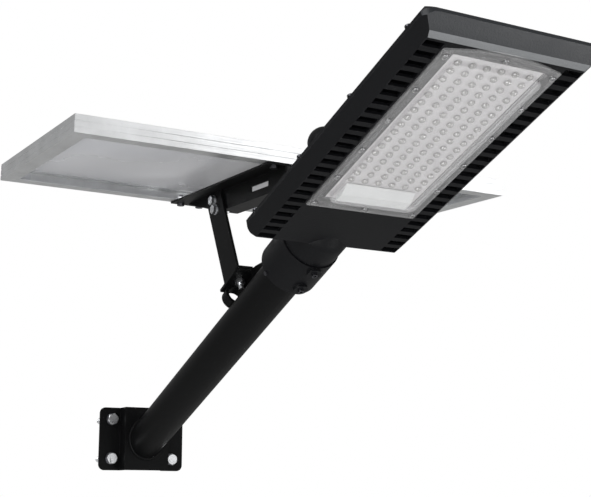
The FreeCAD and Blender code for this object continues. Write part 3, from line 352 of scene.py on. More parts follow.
@dataclass(frozen=True)
class PowderCoat:
    """Baked paint: a satin skin with a fine orange peel, worn edges and a little dust."""

    name: str
    colour: Colour
    gloss: float = 0.42
    grain: float = 900.0
    relief: float = 0.25
    wear: float = 0.25
    dust: float = 0.05
    sheen: float = 0.07
    patch_scale: float = 14.0
    patch_shade: float = 1.15
    dust_scale: float = 55.0
    wear_scale: float = 160.0
    glossier: float = 0.02
    duller: float = 0.03
    depth: float = 0.3 * MM

    def make(self, effects: Effects) -> bpy.types.Material:
        """Build the material.

        Args:
            effects: the shared effects.

        Returns:
            The finished material.
        """
        coat = Coat(self.name)
        grain = coat.place(effects.grain, Scale=self.grain, Patch_Scale=self.patch_scale)
        dust = coat.place(effects.dust, Amount=self.dust, Scale=self.dust_scale)
        wear = coat.place(effects.wear, Amount=self.wear, Scale=self.wear_scale)
        patches = grain.outputs["Patches"]
        base = coat.tint(patches, self.colour, shaded(self.colour, self.patch_shade))
        dusty = coat.tint(dust.outputs["Dust"], base, DUST_COLOUR)
        coat.feed("Base Color", coat.tint(wear.outputs["Wear"], dusty, RUBBED_COLOUR))
        coat.feed("Roughness", coat.spread(patches, self.gloss - self.glossier,
                                           self.gloss + self.duller))
        coat.set(Specular_IOR_Level=self.sheen)
        coat.bump(grain.outputs["Height"], self.relief, self.depth)
        return coat.material


@dataclass(frozen=True)
class DrawnMetal:
    """Bare or plated metal with fine lines along one direction."""

    name: str
    colour: Colour
    roughness: float
    scale: float
    stretch: Place = (1.0, 1.0, 1.0)
    relief: float = 0.15
    patch_scale: float = 22.0
    patch_shade: float = 0.82
    smoother: float = 0.06
    rougher: float = 0.1
    depth: float = 0.05 * MM

    def make(self, effects: Effects) -> bpy.types.Material:
        """Build the material.

        Args:
            effects: the shared effects.

        Returns:
            The finished material.
        """
        coat = Coat(self.name)
        coat.set(Metallic=1.0)
        lines = coat.place(effects.lines, Stretch=self.stretch, Scale=self.scale)
        grain = coat.place(effects.grain, Patch_Scale=self.patch_scale)
        coat.feed("Base Color", coat.tint(grain.outputs["Patches"], self.colour,
                                          shaded(self.colour, self.patch_shade)))
        coat.feed("Roughness", coat.spread(lines.outputs["Streaks"],
                                           self.roughness - self.smoother,
                                           self.roughness + self.rougher))
        coat.bump(lines.outputs["Height"], self.relief, self.depth)
        return coat.material


@dataclass(frozen=True)
class MouldedPlastic:
    """Opaque plastic or rubber with a fine spark-eroded grain."""

    name: str
    colour: Colour
    roughness: float
    grain: float = 1400.0
    relief: float = 0.2
    patch_scale: float = 30.0
    patch_shade: float = 0.9
    variation: float = 0.05
    depth: float = 0.05 * MM

    def make(self, effects: Effects) -> bpy.types.Material:
        """Build the material.

        Args:
            effects: the shared effects.

        Returns:
            The finished material.
        """
        coat = Coat(self.name)
        grain = coat.place(effects.grain, Scale=self.grain, Patch_Scale=self.patch_scale)
        patches = grain.outputs["Patches"]
        coat.feed("Base Color", coat.tint(patches, self.colour,
                                          shaded(self.colour, self.patch_shade)))
        coat.feed("Roughness", coat.spread(patches, self.roughness - self.variation,
                                           self.roughness + self.variation))
        coat.bump(grain.outputs["Height"], self.relief, self.depth)
        return coat.material


@dataclass(frozen=True)
class ClearPart:
    """Clear moulded plastic or glass with faint flow marks in its surface."""

    name: str
    colour: Colour
    roughness: float
    index: float
    waviness: float
    transmission: float = 1.0
    cover: float = 1.0
    flow_scale: float = 70.0
    patch_scale: float = 30.0
    duller: float = 0.04
    depth: float = 0.1 * MM

    def make(self, effects: Effects) -> bpy.types.Material:
        """Build the material.

        Args:
            effects: the shared effects.

        Returns:
            The finished material.
        """
        coat = Coat(self.name)
        coat.set(Base_Color=(*self.colour, 1.0), Transmission_Weight=self.transmission,
                 IOR=self.index, Metallic=0.0, Alpha=self.cover)
        flow = coat.place(effects.grain, Scale=self.flow_scale, Patch_Scale=self.patch_scale)
        coat.feed("Roughness", coat.spread(flow.outputs["Patches"], self.roughness,
                                           self.roughness + self.duller))
        coat.bump(flow.outputs["Height"], self.waviness, self.depth)
        return coat.material


@dataclass(frozen=True)
class SiliconCells:
    """Dark blue solar cells with fine silver fingers across and wider bars along them."""

    name: str
    colour: Colour
    finger_pitch: float = 2.2 * MM
    finger_share: float = 0.07
    bar_pitch: float = 26.0 * MM
    bar_share: float = 0.06
    tilt: float = math.radians(-3.0)
    crystal_scale: float = 90.0
    crystal_shade: float = 1.9
    cell_roughness: float = 0.22
    finger_roughness: float = 0.4

    def stripes(self, coat: Coat, axis: bpy.types.NodeSocket, pitch: float,
                share: float) -> bpy.types.NodeSocket:
        """Repeat a thin stripe along one coordinate.

        Args:
            coat: the material under construction.
            axis: socket with the coordinate.
            pitch: distance between stripes, in metres.
            share: part of the pitch that a stripe covers.

        Returns:
            Socket that is 1 on a stripe.
        """
        value = axis
        for operation, number in (("MULTIPLY", 1.0 / pitch), ("FRACT", 0.0),
                                  ("LESS_THAN", share)):
            step = coat.add("ShaderNodeMath", operation=operation)
            step.inputs[1].default_value = number
            coat.link(value, step.inputs[0])
            value = step.outputs[0]
        return value

    def make(self, effects: Effects) -> bpy.types.Material:
        """Build the material.

        Args:
            effects: the shared effects, which glass-covered cells don't need.

        Returns:
            The finished material.
        """
        coat = Coat(self.name)
        place = coat.add("ShaderNodeTexCoord")
        level = coat.add("ShaderNodeMapping", Rotation=(0.0, self.tilt, 0.0))
        coat.link(place.outputs["Object"], level.inputs["Vector"])
        split = coat.add("ShaderNodeSeparateXYZ")
        coat.link(level.outputs[0], split.inputs[0])
        fingers = self.stripes(coat, split.outputs["Y"], self.finger_pitch, self.finger_share)
        bars = self.stripes(coat, split.outputs["X"], self.bar_pitch, self.bar_share)
        either = coat.add("ShaderNodeMath", operation="MAXIMUM")
        coat.link(fingers, either.inputs[0])
        coat.link(bars, either.inputs[1])
        silver = either.outputs[0]
        crystals = coat.add("ShaderNodeTexVoronoi", Scale=self.crystal_scale)
        coat.link(place.outputs["Object"], crystals.inputs["Vector"])
        shade = coat.add("ShaderNodeSeparateColor")
        coat.link(crystals.outputs["Color"], shade.inputs[0])
        base = coat.tint(shade.outputs[0], self.colour, shaded(self.colour, self.crystal_shade))
        coat.feed("Base Color", coat.tint(silver, base, FINGER_COLOUR))
        coat.feed("Roughness", coat.spread(silver, self.cell_roughness, self.finger_roughness))
        return coat.material


@dataclass(frozen=True)
class Laminate:
    """Glossy backsheet with soft darker clouds of painted shade and reflection."""

    name: str
    colour: Colour
    shadow: Colour
    cloud: float
    grain: float = 260.0
    smoothest: float = 0.22
    roughest: float = 0.34
    relief: float = 0.05
    depth: float = 0.1 * MM

    def make(self, effects: Effects) -> bpy.types.Material:
        """Build the material.

        Args:
            effects: the shared effects.

        Returns:
            The finished material.
        """
        coat = Coat(self.name)
        grain = coat.place(effects.grain, Scale=self.grain, Patch_Scale=self.cloud)
        patches = grain.outputs["Patches"]
        # painted shade and reflection: noise clouds mix the sheet's colour with the darker shadow
        # colour
        coat.feed("Base Color", coat.tint(patches, self.colour, self.shadow))
        coat.feed("Roughness", coat.spread(patches, self.smoothest, self.roughest))
        coat.bump(grain.outputs["Height"], self.relief, self.depth)
        return coat.material


class Finish(Enum):
    """Every finish of the lamp."""

    BLACK_PAINT = PowderCoat("Black Powder Coat", (0.0030, 0.0031, 0.0033), gloss=0.40)
    HEAD_PAINT = PowderCoat("Black Casting Coat", (0.0036, 0.0038, 0.0045), gloss=0.44,
                            grain=420.0, relief=0.7, wear=0.3, sheen=0.12)
    # painted highlight: a lighter copy of the black casting coat, standing for light caught on
    # the narrow front facet
    FACET_PAINT = PowderCoat("Front Facet Painted Highlight", (0.15, 0.155, 0.16), gloss=0.5,
                             grain=420.0, relief=1.0, wear=0.0, dust=0.0)
    # painted light: a lighter, bluer copy of the black casting coat with more sheen, standing for
    # light falling on the head's front face
    FRONT_PAINT = PowderCoat("Front Face Painted Light", (0.012, 0.0135, 0.016), gloss=0.44,
                             grain=420.0, relief=0.9, wear=0.3, sheen=0.3)
    ZINC = DrawnMetal("Zinc Plate", (0.72, 0.73, 0.75), roughness=0.30, scale=420.0)
    STAINLESS = DrawnMetal("Bright Steel", (0.80, 0.80, 0.80), roughness=0.20, scale=600.0)
    BLACK_SCREW = DrawnMetal("Black Oxide", (0.09, 0.09, 0.10), roughness=0.34, scale=500.0)
    RAIL_LONG = DrawnMetal("Anodised Rail Long", (0.86, 0.87, 0.88), roughness=0.34,
                           scale=900.0, stretch=(1.0, 0.02, 1.0))
    RAIL_SHORT = DrawnMetal("Anodised Rail Short", (0.86, 0.87, 0.88), roughness=0.34,
                            scale=900.0, stretch=(0.02, 1.0, 1.0))
    BARE_ALUMINIUM = DrawnMetal("Extruded Aluminium", (0.74, 0.75, 0.77), roughness=0.38,
                                scale=600.0, stretch=(0.05, 1.0, 1.0))
    SCREW_STEEL = DrawnMetal("Screw Steel", (0.42, 0.42, 0.43), roughness=0.22, scale=600.0)
    LENS = ClearPart("Clear Lens", (0.80, 0.80, 0.81), roughness=0.08, index=1.49,
                     waviness=0.5, transmission=0.0, cover=0.16)
    DOME = ClearPart("Dome Lens", (0.19, 0.185, 0.175), roughness=0.07, index=2.3,
                     waviness=0.0, transmission=0.0)
    GLASS = ClearPart("Panel Glass", (0.95, 0.98, 0.97), roughness=0.03, index=1.52,
                      waviness=0.05)
    WHITE_BOARD = MouldedPlastic("White Board", (0.47, 0.455, 0.465), 0.35, 500.0, 0.05)
    CHIP_YELLOW = MouldedPlastic("Chip Phosphor", (0.85, 0.72, 0.30), 0.4, 900.0, 0.1)
    DIFFUSER_WHITE = MouldedPlastic("White Diffuser", (0.56, 0.57, 0.57), 0.45)
    PAD_GREY = MouldedPlastic("Thermal Pad", (0.45, 0.45, 0.46), 0.7)
    BLACK_RUBBER = MouldedPlastic("Black Rubber", (0.018, 0.018, 0.018), 0.7)
    BLACK_PLASTIC = MouldedPlastic("Black Plastic", (0.022, 0.022, 0.023), 0.5)
    CELL_WRAP = MouldedPlastic("Cell Wrap", (0.03, 0.13, 0.38), 0.3, 300.0, 0.05)
    GREEN_BOARD = MouldedPlastic("Green Board", (0.02, 0.16, 0.06), 0.35, 500.0, 0.1)
    SILICON = SiliconCells("Silicon Cells", (0.010, 0.018, 0.055))
    # backsheet with painted clouds of shade and reflection
    WHITE_SHEET = Laminate("Backsheet", (0.60, 0.60, 0.62), (0.52, 0.53, 0.56), cloud=4.0)


class Palette:
    """The material of every finish, made once."""

    def __init__(self, effects: Effects) -> None:
        """Make every material.

        Args:
            effects: the shared effects.
        """
        self.made = {finish: finish.value.make(effects) for finish in Finish}

    def dress(self, piece: bpy.types.Object, finish: Finish) -> None:
        """Give a piece one finish in every material slot.

        Args:
            piece: the object to dress.
            finish: the finish that it gets.
        """
        if not piece.material_slots:
            piece.data.materials.append(self.made[finish])
        for place in piece.material_slots:
            place.material = self.made[finish]


# ---------------------------------------------------------------- workshop tools

class Bench:
    """Selecting, copying and finishing of meshes with the usual operators."""

    SAME_POINT = 0.01 * MM
    FLAT = math.radians(0.4)
    SHARP = math.radians(30.0)
    CORNER = math.radians(60.0)

    @staticmethod
    def clear() -> None:
        """Deselect every object."""
        bpy.ops.object.select_all(action="DESELECT")

    @staticmethod
    def only(piece: bpy.types.Object) -> None:
        """Select one object alone and make it active.

        Args:
            piece: the object to select.
        """
        Bench.clear()
        piece.select_set(True)
        bpy.context.view_layer.objects.active = piece

    @staticmethod
    def copy_of(node: str, name: str) -> bpy.types.Object:
        """Copy a solid of the frame as a new piece with one connected skin.

        Args:
            node: name of the solid.
            name: name of the new piece.

        Returns:
            The new piece, merged and with its flat faces whole.
        """
        Bench.only(frame["nodes"][node])
        bpy.ops.object.duplicate()
        piece = bpy.context.active_object
        piece.name = name
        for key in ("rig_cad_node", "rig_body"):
            if key in piece:
                del piece[key]
        bpy.ops.object.mode_set(mode="EDIT")
        bpy.ops.mesh.select_all(action="SELECT")
        bpy.ops.mesh.remove_doubles(threshold=Bench.SAME_POINT)
        bpy.ops.mesh.dissolve_limited(angle_limit=Bench.FLAT)
        bpy.ops.object.mode_set(mode="OBJECT")
        return piece

    @staticmethod
    def apply(piece: bpy.types.Object, kind: str, **values: object) -> None:
        """Add a modifier to a piece, set it up and apply it.

        Args:
            piece: the object to change.
            kind: type name of the modifier.
            **values: properties of the modifier.
        """
        Bench.only(piece)
        modifier = piece.modifiers.new(kind.title(), kind)
        for key, value in values.items():
            setattr(modifier, key, value)
        bpy.ops.object.modifier_apply(modifier=modifier.name)

    @staticmethod
    def ease(piece: bpy.types.Object, width: float) -> None:
        """Round every sharp edge of a piece a little.

        Args:
            piece: the object to change.
            width: width of the rounding, in metres.
        """
        Bench.apply(piece, "BEVEL", width=width, segments=2, limit_method="ANGLE",
                    angle_limit=Bench.SHARP, use_clamp_overlap=True, miter_outer="MITER_ARC")
        Bench.smooth(piece)
        Bench.apply(piece, "WEIGHTED_NORMAL", keep_sharp=True, weight=100)

    @staticmethod
    def smooth(piece: bpy.types.Object, angle: float = 32.0) -> None:
        """Shade a piece smooth except at edges that turn by more than an angle in degrees."""
        Bench.only(piece)
        bpy.ops.object.shade_smooth_by_angle(angle=math.radians(angle))

    @staticmethod
    def centres(node: str) -> list[Vector]:
        """Find the middle of each separate solid of a node.

        Args:
            node: name of the node.

        Returns:
            One point for each solid, ordered along X and then Y.
        """
        Bench.copy_of(node, "Scratch")
        bpy.ops.object.mode_set(mode="EDIT")
        bpy.ops.mesh.select_all(action="SELECT")
        bpy.ops.mesh.separate(type="LOOSE")
        bpy.ops.object.mode_set(mode="OBJECT")
        found = []
        for part in list(bpy.context.selected_objects):
            corners = [Vector(corner) for corner in part.bound_box]
            found.append(sum(corners, Vector()) / len(corners))
            data = part.data
            bpy.data.objects.remove(part)
            bpy.data.meshes.remove(data)
        Bench.clear()
        return sorted(found, key=lambda point: (round(point.x, 4), point.y))

    @staticmethod
    def join(parts: list[bpy.types.Object], name: str) -> bpy.types.Object:
        """Join several objects into one piece with its place in its mesh.

        Args:
            parts: objects to join.
            name: name of the piece.

        Returns:
            The joined piece.
        """
        Bench.clear()
        for part in parts:
            part.select_set(True)
        bpy.context.view_layer.objects.active = parts[0]
        if len(parts) > 1:
            bpy.ops.object.join()
        piece = bpy.context.active_object
        bpy.ops.object.transform_apply(location=True, rotation=True, scale=True)
        piece.name = name
        piece.data.name = name
        return piece

    @staticmethod
    def repeat(master: bpy.types.Object, places: list[Matrix], name: str) -> bpy.types.Object:
        """Copy a master to each place and join the copies.

        Args:
            master: object that is copied, and removed afterwards.
            places: where each copy goes.
            name: name of the joined piece.

        Returns:
            The joined piece.
        """
        copies = []
        for place in places:
            Bench.only(master)
            bpy.ops.object.duplicate()
            copy = bpy.context.active_object
            copy.matrix_world = place
            copies.append(copy)
        bpy.data.objects.remove(master)
        return Bench.join(copies, name)

    @staticmethod
    def settle(piece: bpy.types.Object, body: str, slot: str, *nodes: str) -> None:
        """Make a finished piece ride on a body and stand for some solids.

        Args:
            piece: the finished piece.
            body: body of the frame that it moves with.
            slot: material slot of the record; not used.
            *nodes: solids that it stands for.
        """
        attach(piece, body)
        if nodes:
            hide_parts(*nodes)
        log.info("%s: %d faces on %s", piece.name, len(piece.data.polygons), body)


@dataclass
class ScrewHead:
    """Round screw head with a cross recess; its recess and crown are shares of its sizes."""

    radius: float = 3.4 * MM
    height: float = 2.1 * MM
    recess: float = 1.6 * MM
    recess_width: float = 0.45
    recess_depth: float = 1.1
    crown: float = 0.45

    def master(self) -> bpy.types.Object:
        """Model one screw head, its flat side at the origin, its crown towards +Z.

        Returns:
            The master object.
        """
        Bench.clear()
        bpy.ops.mesh.primitive_cylinder_add(vertices=20, radius=self.radius, depth=self.height,
                                            location=(0, 0, self.height / 2))
        head = bpy.context.active_object
        bpy.ops.object.transform_apply(location=True)
        Bench.apply(head, "BEVEL", width=self.crown * self.height, segments=3,
                    limit_method="ANGLE", angle_limit=Bench.CORNER)
        size = (2 * self.recess, self.recess_width * self.recess, self.recess_depth * self.height)
        for turn in (0.0, QUARTER_TURN):
            Bench.clear()
            bpy.ops.mesh.primitive_cube_add(size=1.0, location=(0, 0, self.height),
                                            rotation=(0, 0, turn), scale=size)
            bar = bpy.context.active_object
            Bench.apply(head, "BOOLEAN", operation="DIFFERENCE", object=bar, solver="EXACT")
            bpy.data.objects.remove(bar)
        Bench.smooth(head)
        return head


@dataclass
class HexBolt:
    """Hexagon bolt with a chamfered head and a cut thread."""

    flats: float = 17.0 * MM
    head: float = 6.4 * MM
    radius: float = 5.0 * MM
    pitch: float = 1.5 * MM
    behind: float = 60.0 * MM
    before: float = 5.0 * MM
    cone_foot: float = 1.62
    cone_top: float = 0.96
    head_edge: float = 0.25 * MM
    core_share: float = 0.9
    point: float = 0.6 * MM
    crest: tuple[float, float] = (0.42, 0.58)
    root_overlap: float = 0.1 * MM
    thread_steps: int = 16

    def master(self) -> bpy.types.Object:
        """Model one bolt along +X, its origin on the bracket's back plane.

        Returns:
            The master object.
        """
        core = self.core_share * self.radius
        return Bench.join([self.hexagon(), self.shank(core), self.thread(core)], "Bolt")

    def hexagon(self) -> bpy.types.Object:
        """Model the head, chamfered by its crossing with a cone.

        Returns:
            The head in its place.
        """
        Bench.clear()
        bpy.ops.mesh.primitive_cylinder_add(vertices=6, radius=self.flats / math.sqrt(3),
                                            depth=self.head)
        head = bpy.context.active_object
        Bench.clear()
        bpy.ops.mesh.primitive_cone_add(vertices=48, depth=2 * self.head,
                                        radius1=self.cone_foot * self.flats / 2 + self.head,
                                        radius2=self.cone_top * self.flats / 2)
        chamfer = bpy.context.active_object
        chamfer.location = (0, 0, -self.head / 2)
        Bench.apply(head, "BOOLEAN", operation="INTERSECT", object=chamfer, solver="EXACT")
        bpy.data.objects.remove(chamfer)
        Bench.ease(head, self.head_edge)
        head.rotation_euler = (0, QUARTER_TURN, 0)
        head.location = (self.before + self.head / 2, 0, 0)
        return head

    def shank(self, core: float) -> bpy.types.Object:
        """Model the shank with its chamfered point.

        Args:
            core: radius of the thread's root, in metres.

        Returns:
            The shank along X.
        """
        Bench.clear()
        bpy.ops.mesh.primitive_cylinder_add(vertices=24, radius=core,
                                            depth=self.behind + self.before,
                                            rotation=(0, QUARTER_TURN, 0),
                                            location=((self.before - self.behind) / 2, 0, 0))
        shank = bpy.context.active_object
        Bench.apply(shank, "BEVEL", width=self.point, segments=1, limit_method="ANGLE",
                    angle_limit=Bench.CORNER)
        return shank

    def thread(self, core: float) -> bpy.types.Object:
        """Model the thread's helical ridge on the core.

        Args:
            core: radius of the thread's root, in metres.

        Returns:
            The ridge along X.
        """
        turns = int((self.behind - 2 * self.pitch) / self.pitch)
        root = core - self.root_overlap
        rise, fall = (share * self.pitch for share in self.crest)
        Bench.clear()
        bpy.ops.mesh.primitive_plane_add(size=1.0)
        ridge = bpy.context.active_object
        corners = ((root, 0.0), (self.radius, rise), (root, self.pitch), (self.radius, fall))
        for vertex, (out, along) in zip(ridge.data.vertices, corners):
            vertex.co = (out, 0.0, along)
        bpy.ops.object.mode_set(mode="EDIT")
        bpy.ops.mesh.select_all(action="SELECT")
        bpy.ops.mesh.delete(type="ONLY_FACE")
        bpy.ops.object.mode_set(mode="OBJECT")
        Bench.apply(ridge, "SCREW", axis="Z", screw_offset=self.pitch, iterations=turns,
                    steps=self.thread_steps, render_steps=self.thread_steps,
                    use_merge_vertices=True, merge_threshold=0.001 * MM)
        Bench.smooth(ridge, 40.0)
        ridge.rotation_euler = (0, QUARTER_TURN, 0)
        ridge.location = (-self.behind + self.pitch / 2, 0, 0)
        return ridge


# ---------------------------------------------------------------- sub-assemblies

@dataclass
class SubAssembly:
    """A group of pieces that take their finishes from one palette."""

    palette: Palette

    def skin(self, node: str, name: str, edge: float, finish: Finish, body: str,
             slot: str) -> None:
        """Let a copy of a solid with eased edges stand for it.

        Args:
            node: name of the solid.
            name: name of the piece.
            edge: width of the eased edges, in metres.
            finish: finish of the piece.
            body: body that it moves with.
            slot: material slot of the record.
        """
        piece = Bench.copy_of(node, name)
        Bench.ease(piece, edge)
        self.palette.dress(piece, finish)
        Bench.settle(piece, body, slot, node)

    def dress_nodes(self, finishes: dict[str, Finish]) -> None:
        """Give each solid that stays its finish."""
        for node, finish in finishes.items():
            self.palette.dress(frame["nodes"][node], finish)


@dataclass
class WallMount(SubAssembly):
    """Bracket with its bolts and washers, the arm tube and the weld between them."""

    pitch: float = math.radians(22.5)
    tube_radius: float = 30.0 * MM
    face: float = 28.0 * MM
    plate_edge: float = 0.9 * MM
    bolt_turn: float = 17.0
    bead: float = 2.6 * MM
    bead_out: float = 0.6 * MM
    bead_rise: float = 0.9 * MM
    ripples: tuple[tuple[float, int], ...] = ((0.012, 46), (0.006, 7))

    def build(self) -> None:
        """Model and dress every piece of the mount."""
        self.skin("wall_bracket", "Bracket", self.plate_edge, Finish.BLACK_PAINT, "lamp",
                  "black_paint")
        self.bolts()
        self.weld()
        self.dress_nodes({"anchor_washers": Finish.BLACK_SCREW, "arm_tube": Finish.BLACK_PAINT})

    def bolts(self) -> None:
        """Put a detailed bolt at each anchor, each head turned a little differently."""
        places = []
        for index, centre in enumerate(Bench.centres("anchor_washers")):
            turn = Matrix.Rotation(math.radians(self.bolt_turn * index), 4, "X")
            places.append(Matrix.Translation((0, centre.y, centre.z)) @ turn)
        bolts = Bench.repeat(HexBolt().master(), places, "Anchor_Bolts")
        self.palette.dress(bolts, Finish.ZINC)
        Bench.settle(bolts, "lamp", "zinc", "anchor_bolts")

    def weld(self) -> None:
        """Lay a rippled bead round the foot of the tube."""
        Bench.clear()
        bpy.ops.mesh.primitive_torus_add(major_segments=160, minor_segments=12,
                                         major_radius=self.tube_radius + self.bead_out,
                                         minor_radius=self.bead, rotation=(0, QUARTER_TURN, 0))
        bead = bpy.context.active_object
        bpy.ops.object.transform_apply(rotation=True)
        stretch = 1.0 / math.cos(self.pitch)
        for vertex in bead.data.vertices:
            angle = math.atan2(vertex.co.y, vertex.co.z)
            ripple = 1.0 + sum(size * math.sin(count * angle) for size, count in self.ripples)
            vertex.co.z *= stretch * ripple
            vertex.co.y *= ripple
            vertex.co.x += self.face + self.bead_rise
        Bench.smooth(bead, 60.0)
        bead = Bench.join([bead], "Weld_Bead")
        self.palette.dress(bead, Finish.BLACK_PAINT)
        Bench.settle(bead, "lamp", "weld", "arm_weld")


@dataclass
class LampHead(SubAssembly):
    """Cast head with its cover, lens, screws and everything inside."""

    pitch: float = math.radians(19.2)
    origin: Place = (0.72180, 0.0, 0.25090)
    housing_edge: float = 1.1 * MM
    cover_edge: float = 0.7 * MM
    lens_edge: float = 0.8 * MM
    front: float = 311.0 * MM
    near_front: float = 0.3 * MM
    near_level: float = 0.1 * MM
    facet: float = 4.5 * MM
    facet_lean: tuple[float, float] = (0.1, 0.4)
    front_lean: float = 0.3
    rim: float = 17.5 * MM
    dome_radius: float = 4.4 * MM
    dome_rise: float = 3.6 * MM
    dome_lift: float = 0.85 * MM
    chip_thick: float = 0.8 * MM
    screw_lift: float = 1.95 * MM
    screw_turn: float = 31.0

    def build(self) -> None:
        """Model and dress every piece of the head."""
        housing = Bench.copy_of("head_housing", "Head_Housing")
        self.chamfer_front(housing)
        Bench.ease(housing, self.housing_edge)
        self.palette.dress(housing, Finish.HEAD_PAINT)
        self.paint_front_light(housing)
        Bench.settle(housing, "lamp", "head_paint", "head_housing")
        self.skin("top_cover", "Head_Cover", self.cover_edge, Finish.HEAD_PAINT, "lamp",
                  "head_paint")
        self.skin("lens_cover", "Lens", self.lens_edge, Finish.LENS, "lamp", "clear_plastic")
        self.domes()
        self.screw_heads()
        self.dress_nodes({
            "lens_screws": Finish.STAINLESS, "cover_screws": Finish.BLACK_SCREW,
            "inlet_hood": Finish.HEAD_PAINT, "inlet_grommet": Finish.BLACK_RUBBER,
            "cover_gasket": Finish.BLACK_RUBBER, "end_diffuser": Finish.DIFFUSER_WHITE,
            "led_board": Finish.WHITE_BOARD, "led_chips": Finish.CHIP_YELLOW,
            "thermal_pad": Finish.PAD_GREY, "heat_sink": Finish.BARE_ALUMINIUM,
            "battery_tray": Finish.BARE_ALUMINIUM, "battery_cells": Finish.CELL_WRAP,
            "battery_straps": Finish.BLACK_PLASTIC, "controller_case": Finish.BLACK_PLASTIC,
            "controller_board": Finish.GREEN_BOARD, "controller_lid": Finish.BLACK_PLASTIC,
            "led_driver": Finish.BARE_ALUMINIUM, "clamp_screws": Finish.BLACK_SCREW,
            "locating_screw": Finish.BLACK_SCREW,
        })

    def levelled(self) -> Matrix:
        """Move the head's own frame onto the world's."""
        back = Matrix.Translation([-part for part in self.origin])
        return Matrix.Rotation(self.pitch, 4, "Y") @ back

    def down(self) -> Matrix:
        """Turn that brings +Z to the head's outward direction below the lens."""
        return Matrix.Rotation(-self.pitch, 4, "Y") @ Matrix.Rotation(math.pi, 4, "X")

    def chamfer_front(self, piece: bpy.types.Object) -> None:
        """Cut the narrow facet along the front of the underside.

        Args:
            piece: the copy of the casting.
        """
        turn = self.levelled()
        Bench.only(piece)
        bpy.ops.object.mode_set(mode="EDIT")
        bpy.ops.mesh.select_all(action="DESELECT")
        bpy.ops.object.mode_set(mode="OBJECT")
        for edge in piece.data.edges:
            ends = [turn @ piece.data.vertices[number].co for number in edge.vertices]
            edge.select = all(abs(end.x - self.front) < self.near_front
                              and abs(end.z) < self.near_level for end in ends)
        bpy.ops.object.mode_set(mode="EDIT")
        bpy.ops.mesh.select_mode(type="EDGE")
        bpy.ops.mesh.bevel(offset=self.facet, segments=1)
        bpy.ops.object.mode_set(mode="OBJECT")

    def paint_front_light(self, piece: bpy.types.Object) -> None:
        """Paint the front facet with a painted highlight and the bevel before it with painted
        light.

        Args:
            piece: the finished casting.
        """
        turn = self.levelled()
        spin = turn.to_3x3()
        # material slots for the painted highlight on the front facet and the painted light on the
        # front face
        highlight_slot = len(piece.data.materials)
        lit_front_slot = highlight_slot + 1
        for finish in (Finish.FACET_PAINT, Finish.FRONT_PAINT):
            piece.data.materials.append(self.palette.made[finish])
        least, most = self.facet_lean
        for face in piece.data.polygons:
            middle = turn @ face.center
            lean = (spin @ face.normal).x
            if middle.x < self.front - self.facet or middle.z > self.rim:
                continue
            # faces of the narrow facet take the painted highlight; faces that lean forward take
            # the painted light
            if abs(middle.x - self.front) < self.facet and least < lean < most:
                face.material_index = highlight_slot
            elif lean > self.front_lean:
                face.material_index = lit_front_slot

    def domes(self) -> None:
        """Put a small clear dome over each light-emitting diode."""
        Bench.clear()
        bpy.ops.mesh.primitive_uv_sphere_add(segments=16, ring_count=12, radius=self.dome_radius)
        master = bpy.context.active_object
        bpy.ops.object.mode_set(mode="EDIT")
        bpy.ops.mesh.select_all(action="SELECT")
        bpy.ops.mesh.bisect(plane_co=(0, 0, 0), plane_no=(0, 0, 1), clear_inner=True,
                            use_fill=True)
        bpy.ops.mesh.select_all(action="SELECT")
        bpy.ops.transform.resize(value=(1, 1, self.dome_rise / self.dome_radius))
        bpy.ops.object.mode_set(mode="OBJECT")
        Bench.smooth(master, 50.0)
        turn = self.down()
        below = turn.to_3x3() @ Vector((0, 0, 1))
        foot = below * (self.chip_thick / 2 - self.dome_lift)
        places = [Matrix.Translation(centre - foot) @ turn
                  for centre in Bench.centres("led_chips")]
        domes = Bench.repeat(master, places, "Dome_Lenses")
        self.palette.dress(domes, Finish.DOME)
        Bench.settle(domes, "lamp", "clear_plastic")

    def screw_heads(self) -> None:
        """Put a detailed head on each lens screw, each turned a little differently."""
        turn = self.down()
        below = turn.to_3x3() @ Vector((0, 0, 1))
        places = []
        for index, centre in enumerate(Bench.centres("lens_screws")):
            spin = Matrix.Rotation(math.radians(self.screw_turn * index), 4, "Z")
            places.append(Matrix.Translation(centre + below * self.screw_lift) @ turn @ spin)
        heads = Bench.repeat(ScrewHead().master(), places, "Lens_Screw_Heads")
        self.palette.dress(heads, Finish.SCREW_STEEL)
        Bench.settle(heads, "lamp", "stainless")


@dataclass
class PanelLink(SubAssembly):
    """Bracket on the tube, swivel bolt and bar up to the panel."""

    edge: float = 0.5 * MM

    def build(self) -> None:
        """Model and dress every piece of the link."""
        for node, name, body in (("swivel_seat", "Swivel_Bracket", "lamp"),
                                 ("link_bar", "Link_Bar", "swivel")):
            self.skin(node, name, self.edge, Finish.BLACK_PAINT, body, "black_paint")
        self.dress_nodes({
            "swivel_bolt": Finish.ZINC, "swivel_nut": Finish.ZINC, "tilt_bolts": Finish.ZINC,
            "tilt_nuts": Finish.ZINC, "tilt_washers": Finish.ZINC,
            "slide_washer": Finish.BLACK_SCREW, "swivel_washer": Finish.BLACK_SCREW,
        })


